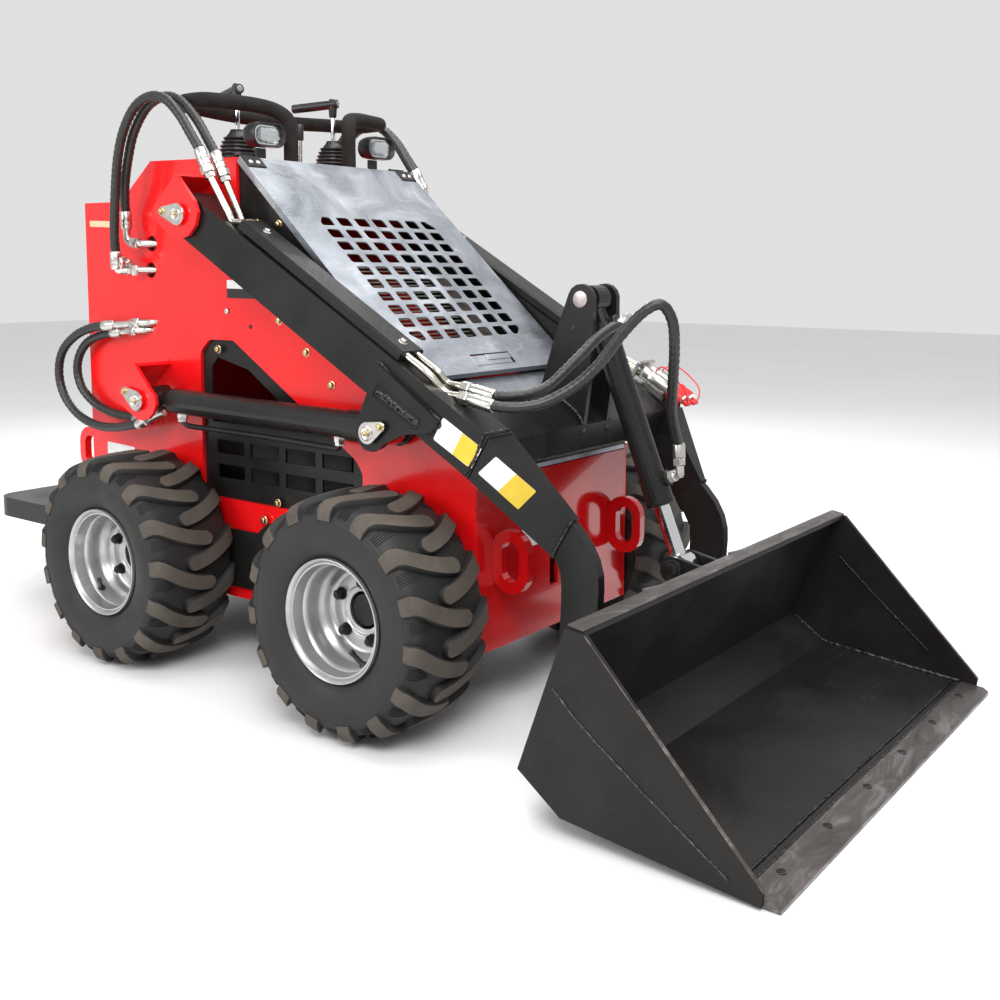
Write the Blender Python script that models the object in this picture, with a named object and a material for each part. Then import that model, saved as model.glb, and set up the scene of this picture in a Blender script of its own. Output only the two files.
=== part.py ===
"""Compact skid steer loader with a stand-on platform.

Frame: metres, +Z up, the machine faces -Y, its right-hand side is -X.
The origin is on the ground, at the middle of the machine's length and width.
All the dimensions below are given along the machine from the front axle
(y = 0 at the front axle, negative forwards) and are moved by Y0 at the end.
"""
import bpy
import bmesh
import math
import numpy as np
from mathutils import Vector, Matrix

for o in list(bpy.data.objects):
    bpy.data.objects.remove(o, do_unlink=True)

# ------------------------------------------------------------------ driving sizes
BUCKET_TIP_Y = -0.883
PLATFORM_END_Y = 1.452
Y0 = -(BUCKET_TIP_Y + PLATFORM_END_Y) / 2      # axle frame -> part frame
GAP = 0.0003

WHEELBASE = 0.689
TYRE_R = 0.2285                                # 18 x 8.50-8 tyre
TYRE_HALF_W = 0.1045
TREAD_HALF_W = 0.084
TRACK_HALF = 0.383
RIM_R = 0.1145
RIM_HALF_W = 0.090

SIDE_X = 0.266                                 # outer face of the side plates
PLATE = 0.008
IN_X = SIDE_X - PLATE
FLOOR_Z = 0.140
FRONT_Y = -0.166
REAR_Y = 1.009

ARM_IN = 0.274
ARM_OUT = 0.348
LIFT_PIVOT = (0.537, 0.964)                    # (y, z) of the arm pins
LIFT_REAR = (0.695, 0.566)                     # lift cylinder, rear pin
LIFT_FRONT = (0.008, 0.556)                    # lift cylinder, rod eye
CYL_X = 0.310
TILT_TOP = (-0.247, 0.800)
TILT_LOW = (-0.449, 0.304)
BUCKET_PIVOT = (-0.380, 0.172)
BUCKET_HALF = 0.521


# ------------------------------------------------------------------ helpers
MATS = {}


def material(name, rgb, rough, metal):
    m = bpy.data.materials.new(name)
    m.use_nodes = True
    b = m.node_tree.nodes["Principled BSDF"]
    b.inputs["Base Color"].default_value = (rgb[0], rgb[1], rgb[2], 1)
    b.inputs["Roughness"].default_value = rough
    b.inputs["Metallic"].default_value = metal
    MATS[name] = m


material("red_paint", (0.70, 0.012, 0.010), 0.25, 0.0)
material("black_paint", (0.015, 0.015, 0.016), 0.35, 0.0)
material("bare_steel", (0.55, 0.56, 0.58), 0.38, 1.0)
material("rim_silver", (0.55, 0.56, 0.58), 0.35, 0.9)
material("tyre_rubber", (0.03, 0.028, 0.027), 0.8, 0.0)
material("hose_rubber", (0.012, 0.012, 0.013), 0.5, 0.0)
material("foam_black", (0.02, 0.018, 0.018), 0.9, 0.0)
material("zinc", (0.62, 0.60, 0.55), 0.3, 1.0)
material("engine_grey", (0.10, 0.10, 0.11), 0.6, 0.3)
material("lamp_black", (0.02, 0.02, 0.022), 0.4, 0.0)


def finish(name, bm, mat, smooth=None):
    """One closed body, faces pointing out, its own named object."""
    bmesh.ops.remove_doubles(bm, verts=bm.verts, dist=1e-6)
    bmesh.ops.recalc_face_normals(bm, faces=bm.faces)
    me = bpy.data.meshes.new(name)
    bm.to_mesh(me)
    bm.free()
    me.transform(Matrix.Translation((0, Y0, 0)))
    ob = bpy.data.objects.new(name, me)
    bpy.context.collection.objects.link(ob)
    if mat:
        me.materials.append(MATS[mat].copy())
    if smooth is not None:
        me.shade_smooth()
        me.set_sharp_from_angle(angle=math.radians(smooth))
    return ob


def prism_bm(pts, axis, a, b, bm=None):
    """A polygon extruded along an axis: (y,z) for x, (x,z) for y, (x,y) for z."""
    bm = bm or bmesh.new()

    def place(p, t):
        if axis == "x":
            return (t, p[0], p[1])
        if axis == "y":
            return (p[0], t, p[1])
        return (p[0], p[1], t)
    lo = [bm.verts.new(place(p, a)) for p in pts]
    hi = [bm.verts.new(place(p, b)) for p in pts]
    n = len(pts)
    bm.faces.new(lo)
    bm.faces.new(hi[::-1])
    for i in range(n):
        bm.faces.new((lo[i], hi[i], hi[(i + 1) % n], lo[(i + 1) % n]))
    return bm


def box_pts(y0, z0, y1, z1):
    return [(y0, z0), (y1, z0), (y1, z1), (y0, z1)]


def circle_pts(c, r, n=20, start=0.0):
    return [(c[0] + r * math.cos(start + 2 * math.pi * i / n),
             c[1] + r * math.sin(start + 2 * math.pi * i / n)) for i in range(n)]


def rounded(pts, r, n=3):
    """A polygon with its corners rounded; r is one radius or one for each corner."""
    out = []
    m = len(pts)
    for i in range(m):
        p0, p1, p2 = (Vector(pts[i - 1]), Vector(pts[i]), Vector(pts[(i + 1) % m]))
        rr = r[i] if isinstance(r, (list, tuple)) else r
        a, b = (p0 - p1), (p2 - p1)
        la, lb = a.length, b.length
        a.normalize()
        b.normalize()
        ang = math.acos(max(-1, min(1, a.dot(b))))
        if rr <= 0 or ang > math.radians(176):
            out.append((p1.x, p1.y))
            continue
        t = min(rr / math.tan(ang / 2), 0.48 * la, 0.48 * lb)
        rr = t * math.tan(ang / 2)
        c = p1 + (a + b).normalized() * (rr / math.sin(ang / 2))
        s, e = p1 + a * t - c, p1 + b * t - c
        a0, a1 = math.atan2(s.y, s.x), math.atan2(e.y, e.x)
        d = (a1 - a0 + math.pi) % (2 * math.pi) - math.pi
        for k in range(n + 1):
            q = a0 + d * k / n
            out.append((c.x + rr * math.cos(q), c.y + rr * math.sin(q)))
    return out


def hull2(circles, n=10):
    """The outline round two or more circles, as points in order."""
    pts = []
    for (cy, cz), r in circles:
        pts += circle_pts((cy, cz), r, 4 * n)
    pts = sorted(set((round(a, 7), round(b, 7)) for a, b in pts))

    def half(seq):
        h = []
        for p in seq:
            while len(h) > 1 and ((h[-1][0] - h[-2][0]) * (p[1] - h[-2][1])
                                  - (h[-1][1] - h[-2][1]) * (p[0] - h[-2][0])) <= 1e-12:
                h.pop()
            h.append(p)
        return h
    lo, up = half(pts), half(pts[::-1])
    return lo[:-1] + up[:-1]


def revolve_bm(profile, axis_pt, axis="x", n=32, bm=None, ring=False):
    """A profile of (along, radius) turned about an axis; a ring profile is a closed
    loop off the axis, any other starts and ends on the axis."""
    bm = bm or bmesh.new()
    rows = []
    for a, r in profile:
        row = []
        if r < 1e-9:
            cnt = 1
        else:
            cnt = n
        for i in range(cnt):
            t = 2 * math.pi * i / n
            c, s = r * math.cos(t), r * math.sin(t)
            if axis == "x":
                co = (axis_pt[0] + a, axis_pt[1] + c, axis_pt[2] + s)
            elif axis == "y":
                co = (axis_pt[0] + c, axis_pt[1] + a, axis_pt[2] + s)
            else:
                co = (axis_pt[0] + c, axis_pt[1] + s, axis_pt[2] + a)
            row.append(bm.verts.new(co))
        rows.append(row)
    m = len(rows)
    last = m if ring else m - 1
    for j in range(last):
        A, B = rows[j], rows[(j + 1) % m]
        for i in range(n):
            k = (i + 1) % n
            if len(A) == 1 and len(B) == 1:
                continue
            if len(A) == 1:
                bm.faces.new((A[0], B[i], B[k]))
            elif len(B) == 1:
                bm.faces.new((A[i], B[0], A[k]))
            else:
                bm.faces.new((A[i], B[i], B[k], A[k]))
    return bm


def rod_bm(p0, p1, r, n=16, bm=None):
    """A round bar between two points."""
    bm = bm or bmesh.new()
    p0, p1 = Vector(p0), Vector(p1)
    d = (p1 - p0)
    q = d.to_track_quat("Z", "Y")
    lo, hi = [], []
    for i in range(n):
        t = 2 * math.pi * i / n
        v = q @ Vector((r * math.cos(t), r * math.sin(t), 0))
        lo.append(bm.verts.new(p0 + v))
        hi.append(bm.verts.new(p1 + v))
    bm.faces.new(lo[::-1])
    bm.faces.new(hi)
    for i in range(n):
        k = (i + 1) % n
        bm.faces.new((lo[i], lo[k], hi[k], hi[i]))
    return bm


def turned_bm(p0, p1, profile, n=20):
    """A turned piece between two points: profile of (distance along, radius)."""
    bm = bmesh.new()
    p0, p1 = Vector(p0), Vector(p1)
    q = (p1 - p0).to_track_quat("Z", "Y")
    rows = []
    for a, r in profile:
        cnt = 1 if r < 1e-9 else n
        row = []
        for i in range(cnt):
            t = 2 * math.pi * i / n
            row.append(bm.verts.new(p0 + q @ Vector((r * math.cos(t), r * math.sin(t), a))))
        rows.append(row)
    for A, B in zip(rows, rows[1:]):
        for i in range(n):
            k = (i + 1) % n
            if len(A) == 1:
                bm.faces.new((A[0], B[i], B[k]))
            elif len(B) == 1:
                bm.faces.new((A[i], B[0], A[k]))
            else:
                bm.faces.new((A[i], B[i], B[k], A[k]))
    return bm


def smooth_route(pts, count):
    """Points evenly spaced on a smooth curve through the route's own points."""
    P = [Vector(p) for p in pts]
    P = [2 * P[0] - P[1]] + P + [2 * P[-1] - P[-2]]
    fine = []
    for i in range(1, len(P) - 2):
        a, b, c, d = P[i - 1], P[i], P[i + 1], P[i + 2]
        for k in range(12):
            t = k / 12
            fine.append(0.5 * ((2 * b) + (c - a) * t + (2 * a - 5 * b + 4 * c - d) * t * t
                               + (3 * b - a - 3 * c + d) * t ** 3))
    fine.append(P[-2])
    L = [0.0]
    for u, v in zip(fine, fine[1:]):
        L.append(L[-1] + (v - u).length)
    out = []
    j = 0
    for k in range(count):
        s = L[-1] * k / (count - 1)
        while j < len(L) - 2 and L[j + 1] < s:
            j += 1
        t = (s - L[j]) / max(L[j + 1] - L[j], 1e-9)
        out.append(fine[j].lerp(fine[j + 1], min(1, t)))
    return out


def tube_bm(pts, r, n=10):
    """A round bar that follows points, with flat ends."""
    bm = bmesh.new()
    P = [Vector(p) for p in pts]
    T = []
    for i in range(len(P)):
        a, b = P[max(0, i - 1)], P[min(len(P) - 1, i + 1)]
        T.append((b - a).normalized())
    ref = Vector((0, 0, 1)) if abs(T[0].z) < 0.9 else Vector((1, 0, 0))
    u = T[0].cross(ref).normalized()
    rows = []
    for i, p in enumerate(P):
        if i:
            u = (u - T[i] * u.dot(T[i])).normalized()
        v = T[i].cross(u)
        rows.append([bm.verts.new(p + r * (math.cos(2 * math.pi * k / n) * u
                                           + math.sin(2 * math.pi * k / n) * v)) for k in range(n)])
    bm.faces.new(rows[0][::-1])
    bm.faces.new(rows[-1])
    for A, B in zip(rows, rows[1:]):
        for k in range(n):
            m = (k + 1) % n
            bm.faces.new((A[k], A[m], B[m], B[k]))
    return bm


def tool(name, bm):
    """A helper shape for a Boolean: never drawn."""
    ob = finish("tool_" + name, bm, None)
    ob.hide_render = True
    ob.display_type = "WIRE"
    return ob


def boolean(ob, bm, op, name):
    t = tool(name, bm)
    m = ob.modifiers.new(name, "BOOLEAN")
    m.operation = op
    m.solver = "EXACT"
    m.object = t
    return t


def add(ob, bm, name):
    boolean(ob, bm, "UNION", name)


def cut(ob, bm, name):
    boolean(ob, bm, "DIFFERENCE", name)


def sx(side, a, b):
    """The x range of something at |x| from a to b on one side."""
    return (side * a, side * b) if side > 0 else (side * b, side * a)


SIDES = (("R", -1), ("L", 1))

# ------------------------------------------------------------------ side plates
ARM_SLOPE = 0.57
SIDE_OUTLINE = [(-0.166, 0.140), (-0.166, 0.478), (0.0, 0.636), (0.05, 0.690), (0.44, 0.915),
                (0.470, 0.950), (0.470, 1.084), (0.756, 1.089), (0.868, 1.003), (1.009, 1.003),
                (1.009, 0.140)]
WINDOW = [(0.600, 0.355), (0.600, 0.672), (0.570, 0.700), (0.492, 0.701), (0.135, 0.480),
          (0.116, 0.455), (0.116, 0.420), (0.150, 0.355)]
UPPER_EAR = [(0.542, 1.043), (0.490, 0.990), (0.4805, 0.967), (0.489, 0.941), (0.511, 0.9205),
             (0.5365, 0.9145), (0.570, 0.9225), (0.595, 0.9355), (0.6135, 0.956), (0.622, 0.972)]
LOWER_EAR = [(0.702, 0.640), (0.657, 0.595), (0.6385, 0.578), (0.636, 0.560), (0.6465, 0.541),
             (0.6635, 0.5275), (0.688, 0.522), (0.7065, 0.526), (0.7335, 0.539), (0.7575, 0.5525), (0.7745, 0.577)]
EAR_X = (0.3525, 0.3605)

for tag, s in SIDES:
    a, b = sx(s, IN_X, SIDE_X)
    ob = finish("side_plate_" + tag, prism_bm(SIDE_OUTLINE, "x", a, b), "red_paint")
    a, b = sx(s, IN_X - 0.01, SIDE_X + 0.01)
    cut(ob, prism_bm(rounded(WINDOW, 0.02, 2), "x", a, b), "window_" + tag)
    for i, c in enumerate(((0.760, 0.907), (0.765, 0.848))):
        cut(ob, prism_bm(circle_pts(c, 0.018, 12), "x", a, b), "port%d_%s" % (i, tag))
    for nm, ear, pin, web in (("upper", UPPER_EAR, LIFT_PIVOT, ((0.622, 0.972), (0.542, 1.043))),
                              ("lower", LOWER_EAR, LIFT_REAR, ((0.7745, 0.577), (0.702, 0.640)))):
        a, b = sx(s, *EAR_X)
        add(ob, prism_bm(ear, "x", a, b), nm + "_ear_" + tag)
        # the sloping web that joins the outer ear to the side plate
        (y0, z0), (y1, z1) = web
        n = Vector((z1 - z0, -(y1 - y0))).normalized() * 0.008
        if n.y < 0:
            n = -n
        strip = [(y0, z0), (y1, z1), (y1 + n.x, z1 + n.y), (y0 + n.x, z0 + n.y)]
        a, b = sx(s, SIDE_X - 0.004, EAR_X[1] - 0.001)
        add(ob, prism_bm(strip, "x", a, b), nm + "_web_" + tag)
        # pin with its round head outside the ear
        add(ob, rod_bm((s * (SIDE_X - 0.004), pin[0], pin[1]), (s * 0.3665, pin[0], pin[1]), 0.0175, 16),
            nm + "_pin_" + tag)

# ------------------------------------------------------------------ front plate with two tie-down rings
ob = finish("front_plate", prism_bm([(-IN_X + GAP, FLOOR_Z), (IN_X - GAP, FLOOR_Z),
                                     (IN_X - GAP, 0.468), (-IN_X + GAP, 0.468)],
                                    "y", FRONT_Y, FRONT_Y + PLATE), "red_paint")


def ring_outline(y0, y1, z0, z1, r, n=5):
    return rounded([(y0, z0), (y1, z0), (y1, z1), (y0, z1)], r, n)


for tag, s in SIDES:
    a, b = s * 0.203 - 0.009, s * 0.203 + 0.009
    body = ring_outline(-0.246, FRONT_Y + 0.003, 0.256, 0.376, 0.039)
    hole = ring_outline(-0.226, -0.1859, 0.278, 0.354, 0.019)
    add(ob, prism_bm(body, "x", a, b), "front_ring_" + tag)
    cut(ob, prism_bm(hole, "x", a - 0.01, b + 0.01), "front_ring_hole_" + tag)
cut(ob, prism_bm([(-0.024, 0.225), (0.004, 0.225), (0.004, 0.298), (-0.024, 0.298)], "y",
                 FRONT_Y - 0.01, FRONT_Y + 0.02), "front_slot")

# ------------------------------------------------------------------ floor, rear panel, console top, deck
finish("floor_plate", prism_bm([(-IN_X + GAP, FRONT_Y + PLATE + GAP), (IN_X - GAP, FRONT_Y + PLATE + GAP),
                                (IN_X - GAP, REAR_Y - PLATE - GAP), (-IN_X + GAP, REAR_Y - PLATE - GAP)],
                               "z", FLOOR_Z, FLOOR_Z + PLATE), "black_paint")
ob = finish("rear_panel", prism_bm([(-IN_X + GAP, FLOOR_Z), (IN_X - GAP, FLOOR_Z),
                                    (IN_X - GAP, 0.9945), (-IN_X + GAP, 0.9945)],
                                   "y", REAR_Y - PLATE, REAR_Y), "red_paint")
for tag, s in SIDES:
    a, b = s * 0.226 - 0.009, s * 0.226 + 0.009
    body = ring_outline(REAR_Y - 0.003, 1.112, 0.352, 0.462, 0.039)
    hole = ring_outline(1.031, 1.091, 0.374, 0.440, 0.019)
    add(ob, prism_bm(body, "x", a, b), "rear_ring_" + tag)
    cut(ob, prism_bm(hole, "x", a - 0.01, b + 0.01), "rear_ring_hole_" + tag)

CONSOLE = [(0.4735, 1.000), (0.4735, 1.081), (0.756, 1.086), (0.868, 1.0005), (REAR_Y - 0.0005, 1.0005),
           (REAR_Y - 0.0005, 0.995), (0.866, 0.995), (0.754, 1.080), (0.4795, 1.075), (0.4795, 1.000)]
finish("console_top", prism_bm(CONSOLE, "x", -IN_X + GAP, IN_X - GAP), "red_paint")

SL = 0.9639                                   # slope of hood and deck, dz/dy
finish("front_deck", prism_bm([(-0.1655, 0.4700), (-0.1655, 0.4785), (-0.004, 0.6342), (-0.004, 0.6262)],
                              "x", -IN_X + GAP, IN_X - GAP), "bare_steel")

# ------------------------------------------------------------------ hood and its black side frame
HOOD_TOP = (0.474, 1.0805)
HOOD_BOT = (-0.009, 0.6390)
HOOD_X = 0.266
ux = Vector((HOOD_BOT[0] - HOOD_TOP[0], HOOD_BOT[1] - HOOD_TOP[1])).normalized()
un = Vector((-ux.y, ux.x))
if un.y < 0:
    un = -un


def on_hood(s, h):
    """A point (y, z) s metres down the hood from its hinge edge, h above its rim plane."""
    return (HOOD_TOP[0] + ux.x * s + un.x * h, HOOD_TOP[1] + ux.y * s + un.y * h)


HOOD_L = (Vector(HOOD_BOT) - Vector(HOOD_TOP)).length
ob = finish("hood", prism_bm([on_hood(0.008, 0.0), on_hood(0.008, 0.014), on_hood(HOOD_L, 0.014),
                              on_hood(HOOD_L, 0.0)], "x", -HOOD_X, HOOD_X), "bare_steel")
cut(ob, prism_bm([on_hood(0.012, -0.01), on_hood(0.012, 0.0105), on_hood(HOOD_L - 0.004, 0.0105),
                  on_hood(HOOD_L - 0.004, -0.01)], "x", -HOOD_X + 0.004, HOOD_X - 0.004), "hood_inside")

low = [on_hood(HOOD_L - 0.024, -0.003), on_hood(0.0, -0.003)]
FRAME_SIDE = [(0.003, 0.560), low[0], (0.430, low[1][1] - 0.0125), (0.4585, 1.068), (0.4585, 0.82), (0.25, 0.66)]
frame_side_top = on_hood(0.018, -0.003)
FRAME_SIDE = [(0.003, 0.575), low[0], frame_side_top, (0.4720, frame_side_top[1]), (0.4720, 0.82), (0.25, 0.67)]
ob = finish("hood_frame", prism_bm(FRAME_SIDE, "x", -IN_X + GAP, -IN_X + GAP + 0.006), "black_paint")
add(ob, prism_bm(FRAME_SIDE, "x", IN_X - GAP - 0.006, IN_X - GAP), "hood_frame_left")
add(ob, prism_bm(box_pts(0.006, 0.580, 0.030, 0.604), "x", -IN_X + GAP + 0.003, IN_X - GAP - 0.003), "hood_frame_bar")

# ------------------------------------------------------------------ side grilles (flat plates with slots)
GRILLE = [(0.625, 0.325), (0.625, 0.690), (0.580, 0.722), (0.488, 0.723), (0.100, 0.490),
          (0.085, 0.450), (0.100, 0.325)]
for tag, s in SIDES:
    a, b = sx(s, IN_X - GAP - 0.005, IN_X - GAP)
    ob = finish("grille_" + tag, prism_bm(GRILLE, "x", a, b), "black_paint")
    a, b = sx(s, IN_X - 0.02, IN_X + 0.01)
    cut(ob, prism_bm([(0.573, 0.520), (0.573, 0.640), (0.552, 0.662), (0.455, 0.640), (0.300, 0.540),
                      (0.300, 0.520)], "x", a, b), "grille_top_" + tag)
    for r, (z0, z1) in enumerate(((0.452, 0.482), (0.398, 0.428))):
        for k in range(4):
            y1 = 0.560 - 0.108 * k
            cut(ob, prism_bm(box_pts(y1 - 0.088, z0, y1, z1), "x", a, b), "grille_%d%d_%s" % (r, k, tag))

# ------------------------------------------------------------------ engine
finish("engine_block", prism_bm(rounded(box_pts(0.22, 0.160, 0.66, 0.540), 0.02, 1), "x", -0.19, 0.19),
       "engine_grey")

# ------------------------------------------------------------------ axle carriers
for tag, s in SIDES:
    a, b = sx(s, SIDE_X + GAP, SIDE_X + 0.0062)
    ob = finish("axle_carrier_" + tag,
                prism_bm(rounded(box_pts(-0.06, 0.165, WHEELBASE + 0.06, 0.292), 0.05, 3), "x", a, b),
                "black_paint")
    add(ob, prism_bm(circle_pts((WHEELBASE / 2, 0.2285), 0.098, 24), "x", a, b - 0 * s), "hub_cover_" + tag)
    for i, y in enumerate((0.0, WHEELBASE)):
        add(ob, revolve_bm([(s * 0.002, 0), (s * 0.002, 0.046), (s * 0.030, 0.046), (s * 0.070, 0.032),
                            (s * 0.118, 0.030), (s * 0.118, 0)], (s * SIDE_X, y, 0.2285), "x", 20),
            "stub%d_%s" % (i, tag))

# ------------------------------------------------------------------ wheels
TYRE = [(-0.0842, 0.1025), (-0.0842, 0.1155), (-0.0985, 0.138), (-0.1045, 0.165), (-0.0990, 0.195), (-0.0840, 0.2180),
        (-0.0450, 0.2268), (0.0, 0.2285), (0.0450, 0.2268), (0.0840, 0.2180), (0.0990, 0.195),
        (0.1045, 0.165), (0.0985, 0.138), (0.0842, 0.1155), (0.0842, 0.1025)]
RIM = [(-0.0900, 0.1145), (-0.0856, 0.1145), (-0.0850, 0.1016), (-0.0450, 0.0965), (0.0450, 0.0965),
       (0.0850, 0.1016), (0.0856, 0.1145), (0.0900, 0.1145), (0.0900, 0.1085), (0.0880, 0.0985),
       (0.0040, 0.0900), (0.0040, 0.0360), (-0.0040, 0.0360), (-0.0040, 0.0900), (-0.0880, 0.0985),
       (-0.0900, 0.1085)]
for y, ax in ((0.0, "F"), (WHEELBASE, "R")):
    for tag, s in SIDES:
        c = (s * TRACK_HALF, y, TYRE_R)
        finish("tyre_%s%s" % (ax, tag), revolve_bm(TYRE, c, "x", 32, ring=True),
               "tyre_rubber", 40)
        finish("rim_%s%s" % (ax, tag), revolve_bm(RIM, c, "x", 24, ring=True), "rim_silver", 35)

# ------------------------------------------------------------------ lift arms
def arm_low(y):
    return 0.492 + ARM_SLOPE * (y + 0.217)


def arm_top(y):
    return arm_low(y) + 0.102


GOOSE_IN, GOOSE_OUT = 0.229, 0.249


def nose_bm(s, grow):
    """The arm's front section on side s; grow > 0 makes it that much fatter inboard."""
    bm = bmesh.new()
    g = grow
    q0 = [(s * (ARM_OUT + g), -0.205 + g, arm_low(-0.205) - g), (s * (ARM_OUT + g), -0.250, arm_top(-0.250) + g),
          (s * (ARM_IN - g), -0.250 + g, arm_top(-0.250) + g), (s * (ARM_IN - g), -0.205 + g, arm_low(-0.205) - g)]
    q1 = [(s * (GOOSE_OUT + g), -0.325, 0.352 - g), (s * (GOOSE_OUT + g), -0.368, 0.424 + g),
          (s * (GOOSE_IN - g), -0.368, 0.424 + g), (s * (GOOSE_IN - g), -0.325, 0.352 - g)]
    v0 = [bm.verts.new(p) for p in q0]
    v1 = [bm.verts.new(p) for p in q1]
    bm.faces.new(v0)
    bm.faces.new(v1[::-1])
    for k in range(4):
        bm.faces.new((v0[k], v1[k], v1[(k + 1) % 4], v0[(k + 1) % 4]))
    return bm


for tag, s in SIDES:
    py, pz = LIFT_PIVOT
    end = []
    for k in range(7):
        t = math.radians(-60 + 180 * k / 6)
        end.append((py + 0.0455 * math.cos(t), pz + 0.0455 * math.sin(t)))
    outline = [(-0.213, arm_low(-0.213))] + end + [(-0.258, arm_top(-0.258))]
    a, b = sx(s, ARM_IN, ARM_OUT)
    bm = prism_bm(outline, "x", a, b)
    ob = finish("lift_arm_" + tag, bm, "black_paint")
    # front section: goes in and down to the curved plate
    add(ob, nose_bm(s, 0.0), "arm_nose_" + tag)
    # curved nose plate down to the bucket pin
    by, bz = BUCKET_PIVOT
    goose = [(-0.318, 0.374), (-0.352, 0.428), (-0.374, 0.412), (-0.398, 0.385), (-0.414, 0.357),
             (-0.4215, 0.330), (-0.4225, 0.305), (-0.4205, 0.270), (-0.4185, 0.190)]
    for k in range(7):
        t = math.radians(155 + 230 * k / 6)
        goose.append((by + 0.038 * math.cos(t), bz + 0.038 * math.sin(t)))
    goose += [(-0.3425, 0.215), (-0.3450, 0.265), (-0.3455, 0.300), (-0.3430, 0.328)]
    a, b = sx(s, GOOSE_IN, GOOSE_OUT)
    add(ob, prism_bm(goose, "x", a, b), "arm_goose_" + tag)
    # bracket plate for the lift cylinder's rod, on the arm's outer face
    fy, fz = LIFT_FRONT
    br = [(-0.012, arm_top(-0.012) - 0.026), (0.034, 0.592)]
    for k in range(6):
        t = math.radians(30 - 160 * k / 5)
        br.append((fy + 0.036 * math.cos(t), fz + 0.036 * math.sin(t)))
    br += [(-0.030, 0.540), (-0.075, 0.560), (-0.125, 0.566), (-0.150, 0.580), (-0.153, 0.592)]
    a, b = sx(s, ARM_OUT - 0.002, ARM_OUT + 0.010)
    add(ob, prism_bm(br, "x", a, b), "arm_bracket_" + tag)
    # inner ear of the same bracket, under the arm
    br2 = [(-0.010, 0.636), (0.040, 0.650), (0.042, 0.575)]
    for k in range(6):
        t = math.radians(30 - 160 * k / 5)
        br2.append((fy + 0.034 * math.cos(t), fz + 0.034 * math.sin(t)))
    br2 += [(-0.030, 0.545), (-0.060, 0.575), (-0.070, 0.600)]
    a, b = sx(s, ARM_IN, ARM_IN + 0.010)
    add(ob, prism_bm(br2, "x", a, b), "arm_bracket_in_" + tag)
    # round head of the rod's pin, on the outer plate
    add(ob, rod_bm((s * (ARM_OUT + 0.004), fy, fz), (s * (ARM_OUT + 0.016), fy, fz), 0.0175, 16), "arm_pin_head_" + tag)
    # bores
    cut(ob, rod_bm((s * 0.25, py, pz), (s * 0.38, py, pz), 0.0187, 20), "arm_bore_" + tag)
    cut(ob, rod_bm((s * 0.20, by, bz), (s * 0.28, by, bz), 0.0137, 16), "nose_bore_" + tag)

# cross member with the tilt cylinder's bracket
CM = [(-0.166, 0.520), (-0.243, 0.506), (-0.258, 0.560), (-0.190, 0.612), (-0.132, 0.594)]
ob = finish("arm_cross_member", prism_bm(CM, "x", -ARM_IN + GAP, ARM_IN - GAP), "black_paint")
for tag, s in SIDES:
    cut(ob, nose_bm(s, 0.0006), "nose_room_" + tag)
ty, tz = TILT_TOP
for tag, s in SIDES:
    br = [(-0.143, 0.596), (-0.160, 0.636), (-0.188, 0.725)]
    for k in range(7):
        t = math.radians(20 + 150 * k / 6)
        br.append((ty + 0.029 * math.cos(t), tz + 0.029 * math.sin(t)))
    br += [(-0.276, 0.745), (-0.268, 0.640), (-0.255, 0.545), (-0.243, 0.515), (-0.20, 0.530)]
    a, b = sx(s, 0.036, 0.048)
    add(ob, prism_bm(br, "x", a, b), "tilt_ear_" + tag)
add(ob, rod_bm((-0.050, ty, tz), (0.050, ty, tz), 0.0150, 16), "tilt_top_pin")

# cover plates over the hard pipes on top of each arm
for tag, s in SIDES:
    a, b = sx(s, 0.2795, 0.3425)
    y0, y1 = 0.372, -0.045
    n = 0.012
    cov = [(y0, arm_top(y0) + GAP), (y0, arm_top(y0) + n), (y1, arm_top(y1) + n), (y1, arm_top(y1) + GAP)]
    ob = finish("pipe_cover_" + tag, prism_bm(cov, "x", a, b), "black_paint")

# ------------------------------------------------------------------ cylinders
def cylinder_pair(tag, x, base, eye, barrel_r, rod_r, cap_r, eye_r, eye_w, shown, back):
    """Barrel with its rear eye, and rod with its front eye, between two pins."""
    p0 = Vector((x, base[0], base[1]))
    p1 = Vector((x, eye[0], eye[1]))
    L = (p1 - p0).length
    d = (p1 - p0).normalized()
    end = L - shown                              # where the barrel's gland ends
    prof = [(back, 0), (back, barrel_r), (end - 0.045, barrel_r), (end - 0.044, cap_r), (end, cap_r),
            (end, rod_r + 0.0012), (back + 0.06, rod_r + 0.0012), (back + 0.06, 0)]
    ob = finish(tag[0], turned_bm(p0, p1, prof, 20), "black_paint", 40)
    add(ob, rod_bm(p0 + d * (eye_r * 0.6), p0 + d * (back + 0.01), barrel_r * 0.62, 12), tag[0] + "_neck")
    add(ob, rod_bm(p0 - Vector((eye_w / 2, 0, 0)), p0 + Vector((eye_w / 2, 0, 0)), eye_r, 20), tag[0] + "_eye")
    cut(ob, rod_bm(p0 - Vector((eye_w, 0, 0)), p0 + Vector((eye_w, 0, 0)), tag[2], 20), tag[0] + "_bore")
    rod = turned_bm(p0, p1, [(back + 0.101, 0), (back + 0.101, rod_r), (L - eye_r * 0.7, rod_r), (L - eye_r * 0.7, 0)], 16)
    ob = finish(tag[1], rod, "zinc", 40)
    add(ob, rod_bm(p1 - Vector((eye_w / 2, 0, 0)), p1 + Vector((eye_w / 2, 0, 0)), eye_r, 20), tag[1] + "_eye")


for tag, s in SIDES:
    cylinder_pair(("lift_barrel_" + tag, "lift_rod_" + tag, 0.0187), s * CYL_X, LIFT_REAR, LIFT_FRONT,
                  0.0275, 0.0150, 0.0310, 0.0290, 0.046, 0.050, 0.060)
cylinder_pair(("tilt_barrel", "tilt_rod", 0.0162), 0.0, TILT_TOP, TILT_LOW,
              0.0250, 0.0150, 0.0270, 0.0260, 0.042, 0.125, 0.052)

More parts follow.
